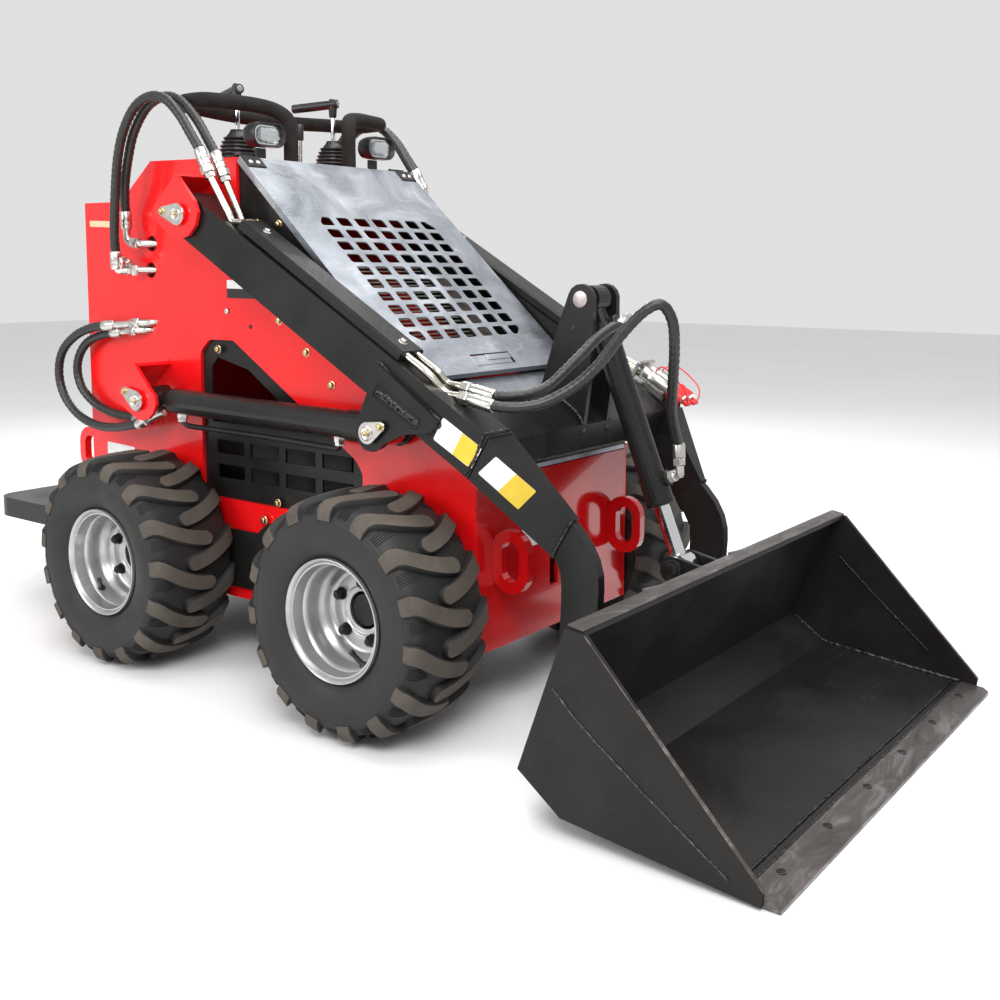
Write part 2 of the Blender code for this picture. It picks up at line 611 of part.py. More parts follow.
# ------------------------------------------------------------------ bucket and its quick-attach plate
A = (-0.883, 0.0015)
B = (-0.530, 0.0350)
Cc = (-0.450, 0.0920)
D = (-0.538, 0.3350)
t = 0.007


def offset_in(p, q, d):
    v = Vector((q[0] - p[0], q[1] - p[1])).normalized()
    return Vector((v.y, -v.x)) * d


def shift(p, o):
    return (p[0] + o.x, p[1] + o.y)


def meet(p1, d1, p2, d2):
    den = d1.x * d2.y - d1.y * d2.x
    k = ((p2[0] - p1[0]) * d2.y - (p2[1] - p1[1]) * d2.x) / den
    return (p1[0] + d1.x * k, p1[1] + d1.y * k)


def dirv(p, q):
    return Vector((q[0] - p[0], q[1] - p[1])).normalized()


dAB, dBC, dCD = dirv(A, B), dirv(B, Cc), dirv(Cc, D)
oAB, oBC, oCD = [Vector((-v.y, v.x)) * t for v in (dAB, dBC, dCD)]
iB = meet(shift(A, oAB), dAB, shift(B, oBC), dBC)
iC = meet(shift(B, oBC), dBC, shift(Cc, oCD), dCD)
lipw = 0.028
D1 = (D[0] - lipw, D[1] - 0.0045)
shell = [(-0.826, A[1] + 0.0054), B, Cc, D, D1, (D1[0] + 0.001, D1[1] - 0.008), (shift(D, oCD)[0] - 0.0015, D[1] - 0.0092), iC, iB,
         (-0.826, A[1] + 0.0054 + t)]
ob = finish("bucket_shell", prism_bm(shell, "x", -BUCKET_HALF + 0.004, BUCKET_HALF - 0.004), "black_paint")
SIDE = [(-0.857, 0.0045), B, Cc, (D[0] + 0.003, D[1] - 0.004), (D1[0] - 0.004, D1[1] - 0.002), (-0.860, 0.026)]
for tag, s in SIDES:
    a, b = sx(s, BUCKET_HALF - t, BUCKET_HALF)
    add(ob, prism_bm(SIDE, "x", a, b), "bucket_side_" + tag)
edge = [(-0.8835, 0.0010), (-0.826 - GAP, 0.0010), (-0.826 - GAP, 0.0170), (-0.8720, 0.0128), (-0.8835, 0.0060)]
edge = [(-0.883, 0.0012), (-0.8265, 0.0040), (-0.8265, 0.0165), (-0.872, 0.0128), (-0.883, 0.0060)]
ob_e = finish("cutting_edge", prism_bm(edge, "x", -BUCKET_HALF + t + GAP, BUCKET_HALF - t - GAP), "bare_steel")

# quick-attach plate, parallel to the bucket's back
dn = Vector((dCD.y, -dCD.x))                  # towards the machine
if dn.x < 0:
    dn = -dn


def on_back(sz, h):
    """(y, z) of a point sz up the bucket's back from its lower corner, h behind it."""
    return (Cc[0] + dCD.x * sz + dn.x * h, Cc[1] + dCD.y * sz + dn.y * h)


qa = [on_back(0.012, GAP), on_back(0.012, 0.013), on_back(0.228, 0.013), on_back(0.240, GAP)]
ob = finish("quick_attach_plate", prism_bm(qa, "x", -0.2815, 0.2815), "black_paint")
by, bz = BUCKET_PIVOT
for tag, s in SIDES:
    ear = [on_back(0.030, 0.008)]
    ear = [on_back(0.150, 0.008), on_back(0.022, 0.008)]
    arc = []
    for k in range(7):
        tt = math.radians(-95 + 190 * k / 6)
        arc.append((by + 0.033 * math.cos(tt), bz + 0.033 * math.sin(tt)))
    ear = [on_back(0.150, 0.008), on_back(0.022, 0.008)] + arc
    a, b = sx(s, 0.208, 0.2240)
    add(ob, prism_bm(ear, "x", a, b), "qa_ear_" + tag)
    add(ob, rod_bm((s * 0.200, by, bz), (s * 0.2555, by, bz), 0.0125, 16), "qa_pin_" + tag)
    ly, lz = TILT_LOW
    ear = [on_back(0.235, 0.008), on_back(0.130, 0.008)]
    arc = []
    for k in range(7):
        tt = math.radians(-80 + 190 * k / 6)
        arc.append((ly + 0.026 * math.cos(tt), lz + 0.026 * math.sin(tt)))
    ear = ear + arc
    a, b = sx(s, 0.027, 0.037)
    add(ob, prism_bm(ear, "x", a, b), "qa_tilt_ear_" + tag)
    add(ob, rod_bm((s * 0.034, ly, lz), (s * 0.044, ly, lz), 0.0150, 16), "qa_tilt_head_" + tag)

# ------------------------------------------------------------------ operator's end: rails, sticks, lamps, platform
for tag, s in SIDES:
    route = [(0.0905, 0.4915, 1.0835), (0.0905, 0.4920, 1.145), (0.095, 0.4960, 1.178), (0.116, 0.514, 1.198),
             (0.160, 0.530, 1.206), (0.220, 0.543, 1.207), (0.266, 0.556, 1.207), (0.277, 0.590, 1.207),
             (0.273, 0.630, 1.206), (0.245, 0.660, 1.206), (0.190, 0.674, 1.205), (0.130, 0.678, 1.202),
             (0.070, 0.680, 1.200), (0.0302, 0.680, 1.200), (0.0002, 0.680, 1.200)]
    pts = smooth_route([(s * x, y, z) for x, y, z in route], 30)
    finish("hand_rail_" + tag, tube_bm(pts, 0.016, 10), "foam_black", 50)
    # joystick with bellows boot
    cx, cy = s * 0.148, 0.600
    boot = [(0, 0), (0, 0.050), (0.008, 0.051), (0.012, 0.046), (0.020, 0.045), (0.024, 0.041), (0.034, 0.039),
            (0.038, 0.036), (0.048, 0.034), (0.052, 0.028), (0.062, 0.024), (0.068, 0.0165), (0.074, 0.0155), (0.075, 0.0055),
            (0.148, 0.0055), (0.149, 0.010), (0.158, 0.0115), (0.172, 0.0105), (0.1755, 0.006), (0.1755, 0)]
    finish("joystick_" + tag, revolve_bm(boot, (cx, cy, 1.0845), "z", 16), "lamp_black", 40)
    # headlight
    body = rounded([(-0.046, -0.026), (0.046, -0.026), (0.046, 0.026), (-0.046, 0.026)], 0.024, 4)
    cx = s * 0.175
    ob = finish("headlight_" + tag, prism_bm([(cx + p[0], 1.137 + p[1]) for p in body], "y", 0.465, 0.513), "lamp_black")
    add(ob, rod_bm((cx, 0.497, 1.0835), (cx, 0.497, 1.118), 0.008, 10), "lamp_foot_" + tag)

ob = finish("throttle_lever", prism_bm([(0.001, 0.562), (0.041, 0.562), (0.041, 0.600), (0.001, 0.600)],
                                       "z", 1.0845, 1.0925), "zinc")
add(ob, rod_bm((0.021, 0.582, 1.088), (0.021, 0.580, 1.150), 0.0045, 8), "lever_stem")
add(ob, rod_bm((0.021, 0.580, 1.148), (0.021, 0.580, 1.1845), 0.0075, 10), "lever_cap")

ob = finish("foot_platform", prism_bm(rounded([(-0.27, REAR_Y + GAP), (0.27, REAR_Y + GAP), (0.27, PLATFORM_END_Y),
                                               (-0.27, PLATFORM_END_Y)], [0, 0, 0.05, 0.05], 4), "z", 0.200, 0.250),
            "black_paint")
cut(ob, prism_bm(rounded([(-0.262, REAR_Y + 0.010), (0.262, REAR_Y + 0.010), (0.262, PLATFORM_END_Y - 0.008),
                          (-0.262, PLATFORM_END_Y - 0.008)], [0, 0, 0.042, 0.042], 4), "z", 0.190, 0.244), "platform_under")

# ------------------------------------------------------------------ quick couplers on the left arm
ob = finish("aux_couplers", prism_bm([(-0.244, arm_top(-0.244) + GAP), (-0.244, arm_top(-0.244) + 0.012),
                                      (-0.150, arm_top(-0.150) + 0.012), (-0.150, arm_top(-0.150) + GAP)], "x", 0.280, 0.342), "zinc")
dv = Vector((0, -1, -ARM_SLOPE)).normalized()
nv = Vector((0, -ARM_SLOPE, 1)).normalized()
for i, x in enumerate((0.296, 0.327)):
    p = Vector((x, -0.180, arm_top(-0.180))) + nv * 0.021
    add(ob, rod_bm(p, p + dv * 0.115, 0.0145, 12), "coupler%d" % i)

# ------------------------------------------------------------------ hoses
def hose(name, pts, r, count):
    cu = bpy.data.curves.new(name, "CURVE")
    cu.dimensions = "3D"
    cu.bevel_depth = r
    cu.bevel_resolution = 2
    cu.use_fill_caps = True
    sp = cu.splines.new("POLY")
    P = smooth_route(pts, count)
    sp.points.add(len(P) - 1)
    for q, p in zip(sp.points, P):
        q.co = (p.x, p.y + Y0, p.z, 1)
    cu.materials.append(MATS["hose_rubber"].copy())
    ob = bpy.data.objects.new(name, cu)
    bpy.context.collection.objects.link(ob)
    return ob


UP1 = [(0.322, 0.8150, 0.885), (0.327, 0.8100, 0.930), (0.333, 0.795, 1.002), (0.335, 0.778, 1.088), (0.335, 0.752, 1.151),
       (0.335, 0.709, 1.197), (0.335, 0.655, 1.2145), (0.335, 0.604, 1.203), (0.335, 0.560, 1.168), (0.335, 0.529, 1.131),
       (0.335, 0.501, 1.097)]
UP2 = [(0.294, 0.8120, 0.975), (0.300, 0.806, 1.000), (0.307, 0.793, 1.040), (0.308, 0.778, 1.091), (0.308, 0.755, 1.146),
       (0.308, 0.712, 1.193), (0.308, 0.664, 1.2135), (0.308, 0.618, 1.213), (0.308, 0.575, 1.192), (0.308, 0.535, 1.155),
       (0.308, 0.507, 1.119), (0.308, 0.484, 1.089)]
LO1 = [(0.300, 0.8980, 0.7195), (0.306, 0.938, 0.714), (0.312, 0.990, 0.696), (0.314, 1.040, 0.663), (0.315, 1.062, 0.624),
       (0.315, 1.062, 0.580), (0.315, 1.037, 0.538), (0.313, 0.985, 0.502), (0.310, 0.922, 0.486), (0.309, 0.850, 0.488),
       (0.309, 0.765, 0.503)]
LO2 = [(0.284, 0.890, 0.703), (0.287, 0.940, 0.694), (0.288, 0.990, 0.674), (0.288, 1.022, 0.640), (0.288, 1.030, 0.603),
       (0.287, 1.014, 0.565), (0.284, 0.975, 0.535), (0.282, 0.930, 0.519), (0.281, 0.880, 0.512), (0.280, 0.815, 0.510)]
HOSE_R = 0.0105
for tag, s in SIDES:
    for nm, route, n in (("upper_hose_1_", UP1, 26), ("upper_hose_2_", UP2, 26), ("lower_hose_1_", LO1, 24),
                         ("lower_hose_2_", LO2, 20)):
        hose(nm + tag, [(s * x, y, z) for x, y, z in route], HOSE_R, n)
TH1 = [(-0.310, -0.2380, 0.6200), (-0.300, -0.260, 0.6180), (-0.285, -0.280, 0.6180),
       (-0.262, -0.307, 0.624), (-0.240, -0.330, 0.638), (-0.215, -0.355, 0.660), (-0.190, -0.382, 0.695), (-0.168, -0.412, 0.745),
       (-0.152, -0.446, 0.785), (-0.134, -0.470, 0.797), (-0.116, -0.482, 0.769), (-0.099, -0.478, 0.722), (-0.074, -0.463, 0.662),
       (-0.045, -0.446, 0.602), (-0.016, -0.438, 0.560), (0.003, -0.436, 0.534)]
TH2 = [(-0.284, -0.2230, 0.634), (-0.270, -0.248, 0.634), (-0.245, -0.272, 0.638), (-0.215, -0.290, 0.650),
       (-0.180, -0.305, 0.678), (-0.145, -0.316, 0.705), (-0.110, -0.325, 0.732), (-0.075, -0.333, 0.750), (-0.048, -0.335, 0.752)]
hose("tilt_hose_1", TH1, 0.0095, 36)
hose("tilt_hose_2", TH2, 0.0095, 24)
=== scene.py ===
import bpy
import bmesh
import math
import random
import numpy as np
from mathutils import Vector, Matrix


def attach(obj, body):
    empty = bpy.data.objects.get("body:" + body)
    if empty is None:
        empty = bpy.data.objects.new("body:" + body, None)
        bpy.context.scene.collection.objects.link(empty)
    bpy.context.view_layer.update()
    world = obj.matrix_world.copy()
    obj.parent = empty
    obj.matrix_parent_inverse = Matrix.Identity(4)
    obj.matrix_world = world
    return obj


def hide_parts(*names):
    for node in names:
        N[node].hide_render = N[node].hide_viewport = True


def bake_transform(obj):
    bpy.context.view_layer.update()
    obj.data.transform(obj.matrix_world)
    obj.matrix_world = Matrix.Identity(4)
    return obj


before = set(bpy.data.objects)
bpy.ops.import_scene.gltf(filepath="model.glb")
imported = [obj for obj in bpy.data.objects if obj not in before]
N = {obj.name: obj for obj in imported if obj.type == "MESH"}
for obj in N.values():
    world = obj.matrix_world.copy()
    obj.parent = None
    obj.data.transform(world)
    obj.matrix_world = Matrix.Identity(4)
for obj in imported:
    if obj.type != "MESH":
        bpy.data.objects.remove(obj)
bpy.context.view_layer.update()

random.seed(7)
Y0 = -0.2845                      # axle frame -> row frame
SIDES = (("R", -1), ("L", 1))


def W(x, y, z):
    return Vector((x, y + Y0, z))


# =============================================================== camera (first)
def set_camera():
    yaw, pitch, roll = math.radians(53.38), math.radians(6.77), math.radians(0.30)
    d = Vector((math.sin(yaw) * math.cos(pitch), math.cos(yaw) * math.cos(pitch), -math.sin(pitch)))
    r = d.cross(Vector((0, 0, 1))).normalized()
    u = r.cross(d)
    r2 = math.cos(roll) * r + math.sin(roll) * u
    u2 = -math.sin(roll) * r + math.cos(roll) * u
    cam = bpy.data.cameras.new("camera")
    ob = bpy.data.objects.new("camera", cam)
    bpy.context.collection.objects.link(ob)
    m = Matrix((r2, u2, -d)).transposed().to_4x4()
    m.translation = W(-1.922, -1.470, 0.864)
    ob.matrix_world = m
    cam.sensor_width = 36.0
    cam.lens = 36.0 * 1.1739
    cam.shift_x = -0.0080
    cam.shift_y = -0.0958
    cam.clip_start, cam.clip_end = 0.05, 60
    bpy.context.scene.camera = ob
    bpy.context.scene.view_settings.view_transform = "Standard"
    bpy.context.scene.view_settings.look = "None"


set_camera()


# =============================================================== materials
class Nodes:
    """A small helper round one material's node tree."""

    def __init__(self, name):
        self.m = bpy.data.materials.new(name)
        self.m.use_nodes = True
        self.t = self.m.node_tree
        self.b = self.t.nodes["Principled BSDF"]
        self.co = self.t.nodes.new("ShaderNodeTexCoord").outputs["Object"]

    def node(self, kind, **kw):
        n = self.t.nodes.new(kind)
        for k, v in kw.items():
            if hasattr(n, k):
                setattr(n, k, v)
            else:
                n.inputs[k.replace("_", " ")].default_value = v
        return n

    def link(self, a, b):
        self.t.links.new(a, b)

    def scaled(self, scale):
        m = self.t.nodes.new("ShaderNodeMapping")
        m.inputs["Scale"].default_value = scale
        self.link(self.co, m.inputs["Vector"])
        return m.outputs["Vector"]

    def noise(self, scale, detail=4, rough=0.55, vec=None, distortion=0.0):
        n = self.t.nodes.new("ShaderNodeTexNoise")
        n.inputs["Scale"].default_value = scale
        n.inputs["Detail"].default_value = detail
        n.inputs["Roughness"].default_value = rough
        n.inputs["Distortion"].default_value = distortion
        self.link(vec if vec is not None else self.co, n.inputs["Vector"])
        return n.outputs["Fac"]

    def voronoi(self, scale, vec=None, feature="F1", out="Distance"):
        n = self.t.nodes.new("ShaderNodeTexVoronoi")
        n.feature = feature
        n.inputs["Scale"].default_value = scale
        self.link(vec if vec is not None else self.co, n.inputs["Vector"])
        return n.outputs[out]

    def ramp(self, fac, stops):
        n = self.t.nodes.new("ShaderNodeValToRGB")
        e = n.color_ramp.elements
        while len(e) > 1:
            e.remove(e[-1])
        e[0].position = stops[0][0]
        e[0].color = self.rgba(stops[0][1])
        for p, c in stops[1:]:
            k = e.new(p)
            k.color = self.rgba(c)
        self.link(fac, n.inputs["Fac"])
        return n.outputs["Color"]

    @staticmethod
    def rgba(c):
        if isinstance(c, (int, float)):
            return (c, c, c, 1)
        return (c[0], c[1], c[2], 1)

    def mix(self, fac, a, b, mode="MIX"):
        n = self.t.nodes.new("ShaderNodeMix")
        n.data_type = "RGBA"
        n.blend_type = mode
        if isinstance(fac, (int, float)):
            n.inputs[0].default_value = fac
        else:
            self.link(fac, n.inputs[0])
        for i, v in ((6, a), (7, b)):
            if isinstance(v, (tuple, int, float)):
                n.inputs[i].default_value = self.rgba(v)
            else:
                self.link(v, n.inputs[i])
        return n.outputs[2]

    def math(self, op, a, b=None, clamp=False):
        n = self.t.nodes.new("ShaderNodeMath")
        n.operation = op
        n.use_clamp = clamp
        for i, v in ((0, a), (1, b)):
            if v is None:
                continue
            if isinstance(v, (int, float)):
                n.inputs[i].default_value = v
            else:
                self.link(v, n.inputs[i])
        return n.outputs[0]

    def bump(self, height, strength=0.2, distance=0.001):
        n = self.t.nodes.new("ShaderNodeBump")
        n.inputs["Strength"].default_value = strength
        n.inputs["Distance"].default_value = distance
        self.link(height, n.inputs["Height"])
        self.link(n.outputs["Normal"], self.b.inputs["Normal"])
        return n

    def edge(self, lo=0.52, hi=0.60):
        g = self.t.nodes.new("ShaderNodeNewGeometry")
        return self.ramp(g.outputs["Pointiness"], [(lo, 0.0), (hi, 1.0)])

    def set(self, **kw):
        for k, v in kw.items():
            s = self.b.inputs[k.replace("_", " ")]
            if isinstance(v, (int, float)):
                s.default_value = v
            elif isinstance(v, tuple):
                s.default_value = self.rgba(v)
            else:
                self.link(v, s)
        return self.m


M = {}


def build_materials():
    # glossy red enamel
    n = Nodes("red_enamel")
    big = n.noise(3.0, 3)
    base = n.ramp(big, [(0.30, (0.66, 0.0040, 0.0060)), (0.70, (0.82, 0.0062, 0.0078))])
    dust = n.ramp(n.noise(26, 6, 0.7), [(0.55, 0.0), (0.85, 0.22)])
    col = n.mix(dust, base, (0.52, 0.020, 0.018))
    rough = n.ramp(n.noise(9, 5, 0.6), [(0.3, 0.20), (0.8, 0.36)])
    n.bump(n.noise(420, 2), 0.06, 0.0006)
    n.set(Base_Color=col, Roughness=rough, Coat_Weight=0.35, Coat_Roughness=0.08, Specular_IOR_Level=0.45)
    M["red"] = n.m
    # red enamel of the front plate, more mirror-like; its darker base colour is painted shade
    n = Nodes("red_enamel_gloss_shaded")
    col = n.ramp(n.noise(4.0, 4), [(0.3, (0.46, 0.0035, 0.0050)), (0.75, (0.60, 0.0060, 0.0070))])
    n.bump(n.noise(240, 2), 0.05, 0.0006)
    n.set(Base_Color=col, Roughness=n.ramp(n.noise(12, 4), [(0.3, 0.10), (0.8, 0.22)]), Coat_Weight=0.6, Coat_Roughness=0.04)
    M["red_gloss"] = n.m
    # black enamel on arms and frames
    n = Nodes("black_enamel")
    col = n.ramp(n.noise(5, 6, 0.65), [(0.25, (0.0065, 0.0062, 0.0060)), (0.75, (0.016, 0.0155, 0.015))])
    specks = n.ramp(n.voronoi(160), [(0.0, 1.0), (0.06, 0.0)])
    pick = n.ramp(n.noise(30, 2), [(0.60, 0.0), (0.68, 1.0)])
    col = n.mix(n.math("MULTIPLY", specks, pick), col, (0.11, 0.10, 0.09))
    worn = n.ramp(n.noise(16, 6, 0.7), [(0.62, 0.0), (0.80, 0.45)])
    col = n.mix(worn, col, (0.030, 0.028, 0.027))
    n.bump(n.noise(300, 3), 0.10, 0.0008)
    n.set(Base_Color=col, Roughness=n.ramp(n.noise(11, 5), [(0.25, 0.20), (0.8, 0.42)]), Specular_IOR_Level=0.24)
    M["black"] = n.m
    # satin black of the bucket
    n = Nodes("bucket_black")
    dusty = n.noise(3.2, 8, 0.62, distortion=0.6)
    col = n.ramp(dusty, [(0.28, (0.0070, 0.0066, 0.0062)), (0.58, (0.017, 0.0155, 0.0145)), (0.80, (0.030, 0.027, 0.025))])
    streak = n.noise(7, 8, 0.7, vec=n.scaled((0.6, 5.0, 5.0)), distortion=1.4)
    col = n.mix(n.ramp(streak, [(0.60, 0.0), (0.78, 0.5)]), col, (0.052, 0.047, 0.044))
    specks = n.ramp(n.voronoi(110), [(0.0, 1.0), (0.045, 0.0)])
    pick = n.ramp(n.noise(24, 2), [(0.58, 0.0), (0.66, 1.0)])
    col = n.mix(n.math("MULTIPLY", specks, pick), col, (0.20, 0.19, 0.18))
    n.bump(n.noise(220, 4), 0.14, 0.0009)
    n.set(Base_Color=col, Roughness=n.ramp(dusty, [(0.25, 0.26), (0.75, 0.52)]), Specular_IOR_Level=0.18)
    M["bucket"] = n.m
    # dusty floor of the bucket, wiped in places
    n = Nodes("bucket_floor_dust")
    wipe = n.noise(4.2, 3, 0.5, vec=n.scaled((1.3, 1.3, 1.0)), distortion=2.6)
    col = n.ramp(wipe, [(0.30, (0.010, 0.0095, 0.0092)), (0.42, (0.018, 0.0165, 0.0155)), (0.55, (0.036, 0.032, 0.029)), (0.75, (0.046, 0.041, 0.037))])
    grit = n.ramp(n.voronoi(190), [(0.0, 1.0), (0.10, 0.0)])
    pick = n.ramp(n.noise(60, 2), [(0.56, 0.0), (0.62, 1.0)])
    col = n.mix(n.math("MULTIPLY", grit, pick), col, (0.13, 0.12, 0.11))
    n.bump(n.noise(260, 4), 0.16, 0.0009)
    n.set(Base_Color=col, Roughness=n.ramp(wipe, [(0.30, 0.24), (0.60, 0.48)]))
    M["bucket_floor"] = n.m
    # steel showing through worn black paint (bucket lip and edge)
    n = Nodes("worn_edge_steel")
    wear = n.noise(8, 8, 0.68, vec=n.scaled((1.0, 3.4, 3.4)), distortion=1.2)
    col = n.ramp(wear, [(0.34, (0.050, 0.043, 0.042)), (0.52, (0.12, 0.105, 0.10)), (0.70, (0.34, 0.31, 0.31))])
    n.bump(n.noise(90, 5), 0.2, 0.0010)
    n.set(Base_Color=col, Roughness=n.ramp(wear, [(0.3, 0.46), (0.7, 0.26)]),
          Metallic=n.ramp(wear, [(0.35, 0.55), (0.7, 1.0)]))
    M["worn"] = n.m
    # bare sheet steel of hood and deck
    n = Nodes("bare_sheet_steel")
    cloud = n.noise(5.5, 6, 0.62, distortion=1.5)
    swirl = n.noise(11, 8, 0.72, vec=n.scaled((0.8, 3.2, 3.2)), distortion=2.2)
    col = n.ramp(cloud, [(0.28, (0.23, 0.25, 0.28)), (0.55, (0.36, 0.38, 0.42)), (0.80, (0.56, 0.58, 0.61))])
    col = n.mix(n.ramp(swirl, [(0.57, 0.0), (0.76, 0.65)]), col, (0.66, 0.67, 0.69))
    scratch = n.ramp(n.noise(5, 2, vec=n.scaled((14, 120, 120)), distortion=0.4), [(0.66, 0.0), (0.70, 1.0)])
    col = n.mix(n.math("MULTIPLY", scratch, 0.35), col, (0.80, 0.81, 0.82))
    n.bump(n.noise(24, 6, 0.6, vec=n.scaled((1, 6, 6))), 0.05, 0.0010)
    n.set(Base_Color=col, Metallic=0.88, Roughness=n.ramp(cloud, [(0.3, 0.24), (0.75, 0.42)]))
    M["steel"] = n.m
    # silver paint of the rims
    n = Nodes("rim_silver_paint")
    col = n.ramp(n.noise(7, 6), [(0.3, (0.40, 0.40, 0.41)), (0.75, (0.54, 0.54, 0.54))])
    grime = n.ramp(n.noise(22, 7, 0.7), [(0.56, 0.0), (0.82, 0.5)])
    col = n.mix(grime, col, (0.22, 0.20, 0.18))
    n.bump(n.noise(500, 2), 0.05, 0.0005)
    n.set(Base_Color=col, Metallic=0.80, Roughness=n.ramp(n.noise(10, 5), [(0.3, 0.26), (0.8, 0.42)]))
    M["rim"] = n.m
    # tyre rubber: the body, and the scuffed tops of the lugs
    n = Nodes("tyre_rubber")
    col = n.ramp(n.noise(9, 6, 0.6), [(0.25, (0.0095, 0.0092, 0.0092)), (0.75, (0.019, 0.0180, 0.0175))])
    dirt = n.ramp(n.noise(14, 7, 0.7), [(0.55, 0.0), (0.85, 0.5)])
    col = n.mix(dirt, col, (0.034, 0.029, 0.025))
    n.bump(n.noise(260, 4, 0.7), 0.22, 0.0010)
    n.set(Base_Color=col, Roughness=n.ramp(n.noise(12, 4), [(0.3, 0.50), (0.8, 0.70)]), Specular_IOR_Level=0.35)
    M["tyre"] = n.m
    n = Nodes("tyre_lug_tops")
    col = n.ramp(n.noise(16, 7, 0.66), [(0.25, (0.052, 0.043, 0.035)), (0.70, (0.092, 0.078, 0.064))])
    rub = n.ramp(n.noise(60, 6, 0.7, vec=n.scaled((0.5, 2, 2))), [(0.55, 0.0), (0.8, 0.6)])
    col = n.mix(rub, col, (0.040, 0.035, 0.030))
    n.bump(n.noise(330, 5, 0.75), 0.35, 0.0011)
    n.set(Base_Color=col, Roughness=0.72, Specular_IOR_Level=0.3)
    M["lug"] = n.m
    # hose rubber with its spiral wrap, and plain rubber
    n = Nodes("hose_wrap")
    col = n.ramp(n.noise(50, 5), [(0.3, (0.0085, 0.0080, 0.0080)), (0.8, (0.020, 0.0185, 0.018))])
    n.bump(n.noise(420, 3), 0.12, 0.0006)
    n.set(Base_Color=col, Roughness=n.ramp(n.noise(30, 4), [(0.3, 0.34), (0.8, 0.50)]))
    M["hose"] = n.m
    n = Nodes("foam_grip")
    col = n.ramp(n.noise(40, 6), [(0.3, (0.0105, 0.0095, 0.0088)), (0.8, (0.022, 0.0195, 0.0180))])
    n.bump(n.noise(700, 3, 0.7), 0.30, 0.0010)
    n.set(Base_Color=col, Roughness=0.88, Specular_IOR_Level=0.22)
    M["foam"] = n.m
    n = Nodes("black_rubber_boot")
    col = n.ramp(n.noise(25, 4), [(0.3, (0.008, 0.008, 0.0085)), (0.8, (0.017, 0.017, 0.018))])
    n.bump(n.noise(240, 3), 0.1, 0.0006)
    n.set(Base_Color=col, Roughness=0.38)
    M["boot"] = n.m
    # metals
    n = Nodes("zinc_plate")
    col = n.ramp(n.noise(45, 5), [(0.3, (0.50, 0.485, 0.455)), (0.75, (0.70, 0.69, 0.66))])
    n.bump(n.noise(300, 3), 0.10, 0.0005)
    n.set(Base_Color=col, Metallic=1.0, Roughness=n.ramp(n.noise(30, 4), [(0.3, 0.20), (0.8, 0.36)]))
    M["zinc"] = n.m
    n = Nodes("yellow_zinc")
    col = n.ramp(n.noise(60, 5), [(0.3, (0.46, 0.34, 0.16)), (0.75, (0.66, 0.55, 0.34))])
    n.bump(n.noise(300, 3), 0.10, 0.0005)
    n.set(Base_Color=col, Metallic=1.0, Roughness=0.32)
    M["gold"] = n.m
    n = Nodes("steel_pipe")
    col = n.ramp(n.noise(38, 5), [(0.3, (0.47, 0.44, 0.37)), (0.75, (0.66, 0.63, 0.55))])
    n.bump(n.noise(160, 3), 0.06, 0.0004)
    n.set(Base_Color=col, Metallic=1.0, Roughness=n.ramp(n.noise(18, 4), [(0.3, 0.18), (0.8, 0.30)]))
    M["pipe"] = n.m
    n = Nodes("chrome_rod")
    col = n.ramp(n.noise(20, 4), [(0.3, (0.62, 0.62, 0.64)), (0.75, (0.76, 0.76, 0.77))])
    n.set(Base_Color=col, Metallic=1.0, Roughness=n.ramp(n.noise(60, 4, vec=n.scaled((1, 1, 8))), [(0.3, 0.07), (0.8, 0.17)]))
    M["chrome"] = n.m
    n = Nodes("weld_metal")
    col = n.ramp(n.noise(130, 6, 0.7), [(0.42, (0.010, 0.010, 0.010)), (0.62, (0.040, 0.038, 0.036)), (0.80, (0.30, 0.29, 0.28))])
    n.bump(n.noise(260, 4), 0.5, 0.0018)
    n.set(Base_Color=col, Roughness=0.30, Metallic=0.35)
    M["weld"] = n.m
    n = Nodes("pin_face")
    col = n.ramp(n.noise(90, 5), [(0.3, (0.42, 0.36, 0.36)), (0.75, (0.62, 0.55, 0.55))])
    n.set(Base_Color=col, Metallic=0.9, Roughness=0.42)
    n.bump(n.voronoi(600), 0.1, 0.0003)
    M["pinface"] = n.m
    # labels, lamps, plastics
    n = Nodes("label_white")
    col = n.ramp(n.noise(30, 5), [(0.3, (0.66, 0.66, 0.65)), (0.8, (0.82, 0.82, 0.81))])
    n.bump(n.noise(200, 2), 0.04, 0.0003)
    n.set(Base_Color=col, Roughness=0.35)
    M["white"] = n.m
    n = Nodes("label_yellow")
    n.set(Base_Color=n.ramp(n.noise(30, 5), [(0.3, (0.62, 0.42, 0.02)), (0.8, (0.74, 0.52, 0.03))]), Roughness=0.35)
    n.bump(n.noise(200, 2), 0.04, 0.0003)
    M["yellow"] = n.m
    n = Nodes("label_cream")
    n.set(Base_Color=n.ramp(n.noise(60, 5), [(0.3, (0.58, 0.40, 0.24)), (0.8, (0.70, 0.52, 0.34))]), Roughness=0.5)
    n.bump(n.noise(200, 2), 0.04, 0.0003)
    M["cream"] = n.m
    # black of the dark label; the same black also fills holes as painted shade
    n = Nodes("label_black_and_hole_shade")
    n.set(Base_Color=n.ramp(n.noise(30, 5), [(0.3, (0.008, 0.008, 0.009)), (0.8, (0.016, 0.016, 0.018))]), Roughness=0.32)
    n.bump(n.noise(200, 2), 0.04, 0.0003)
    M["labelblack"] = n.m
    n = Nodes("red_rubber_cap")
    n.set(Base_Color=n.ramp(n.noise(30, 5), [(0.3, (0.55, 0.010, 0.012)), (0.8, (0.72, 0.018, 0.020))]), Roughness=0.42)
    n.bump(n.noise(200, 3), 0.1, 0.0006)
    M["redcap"] = n.m
    n = Nodes("lamp_glass")
    n.set(Base_Color=(0.9, 0.92, 0.94), Transmission_Weight=0.92, Roughness=n.ramp(n.noise(40, 3), [(0.3, 0.02), (0.8, 0.06)]), IOR=1.45)
    M["glass"] = n.m
    n = Nodes("lamp_reflector")
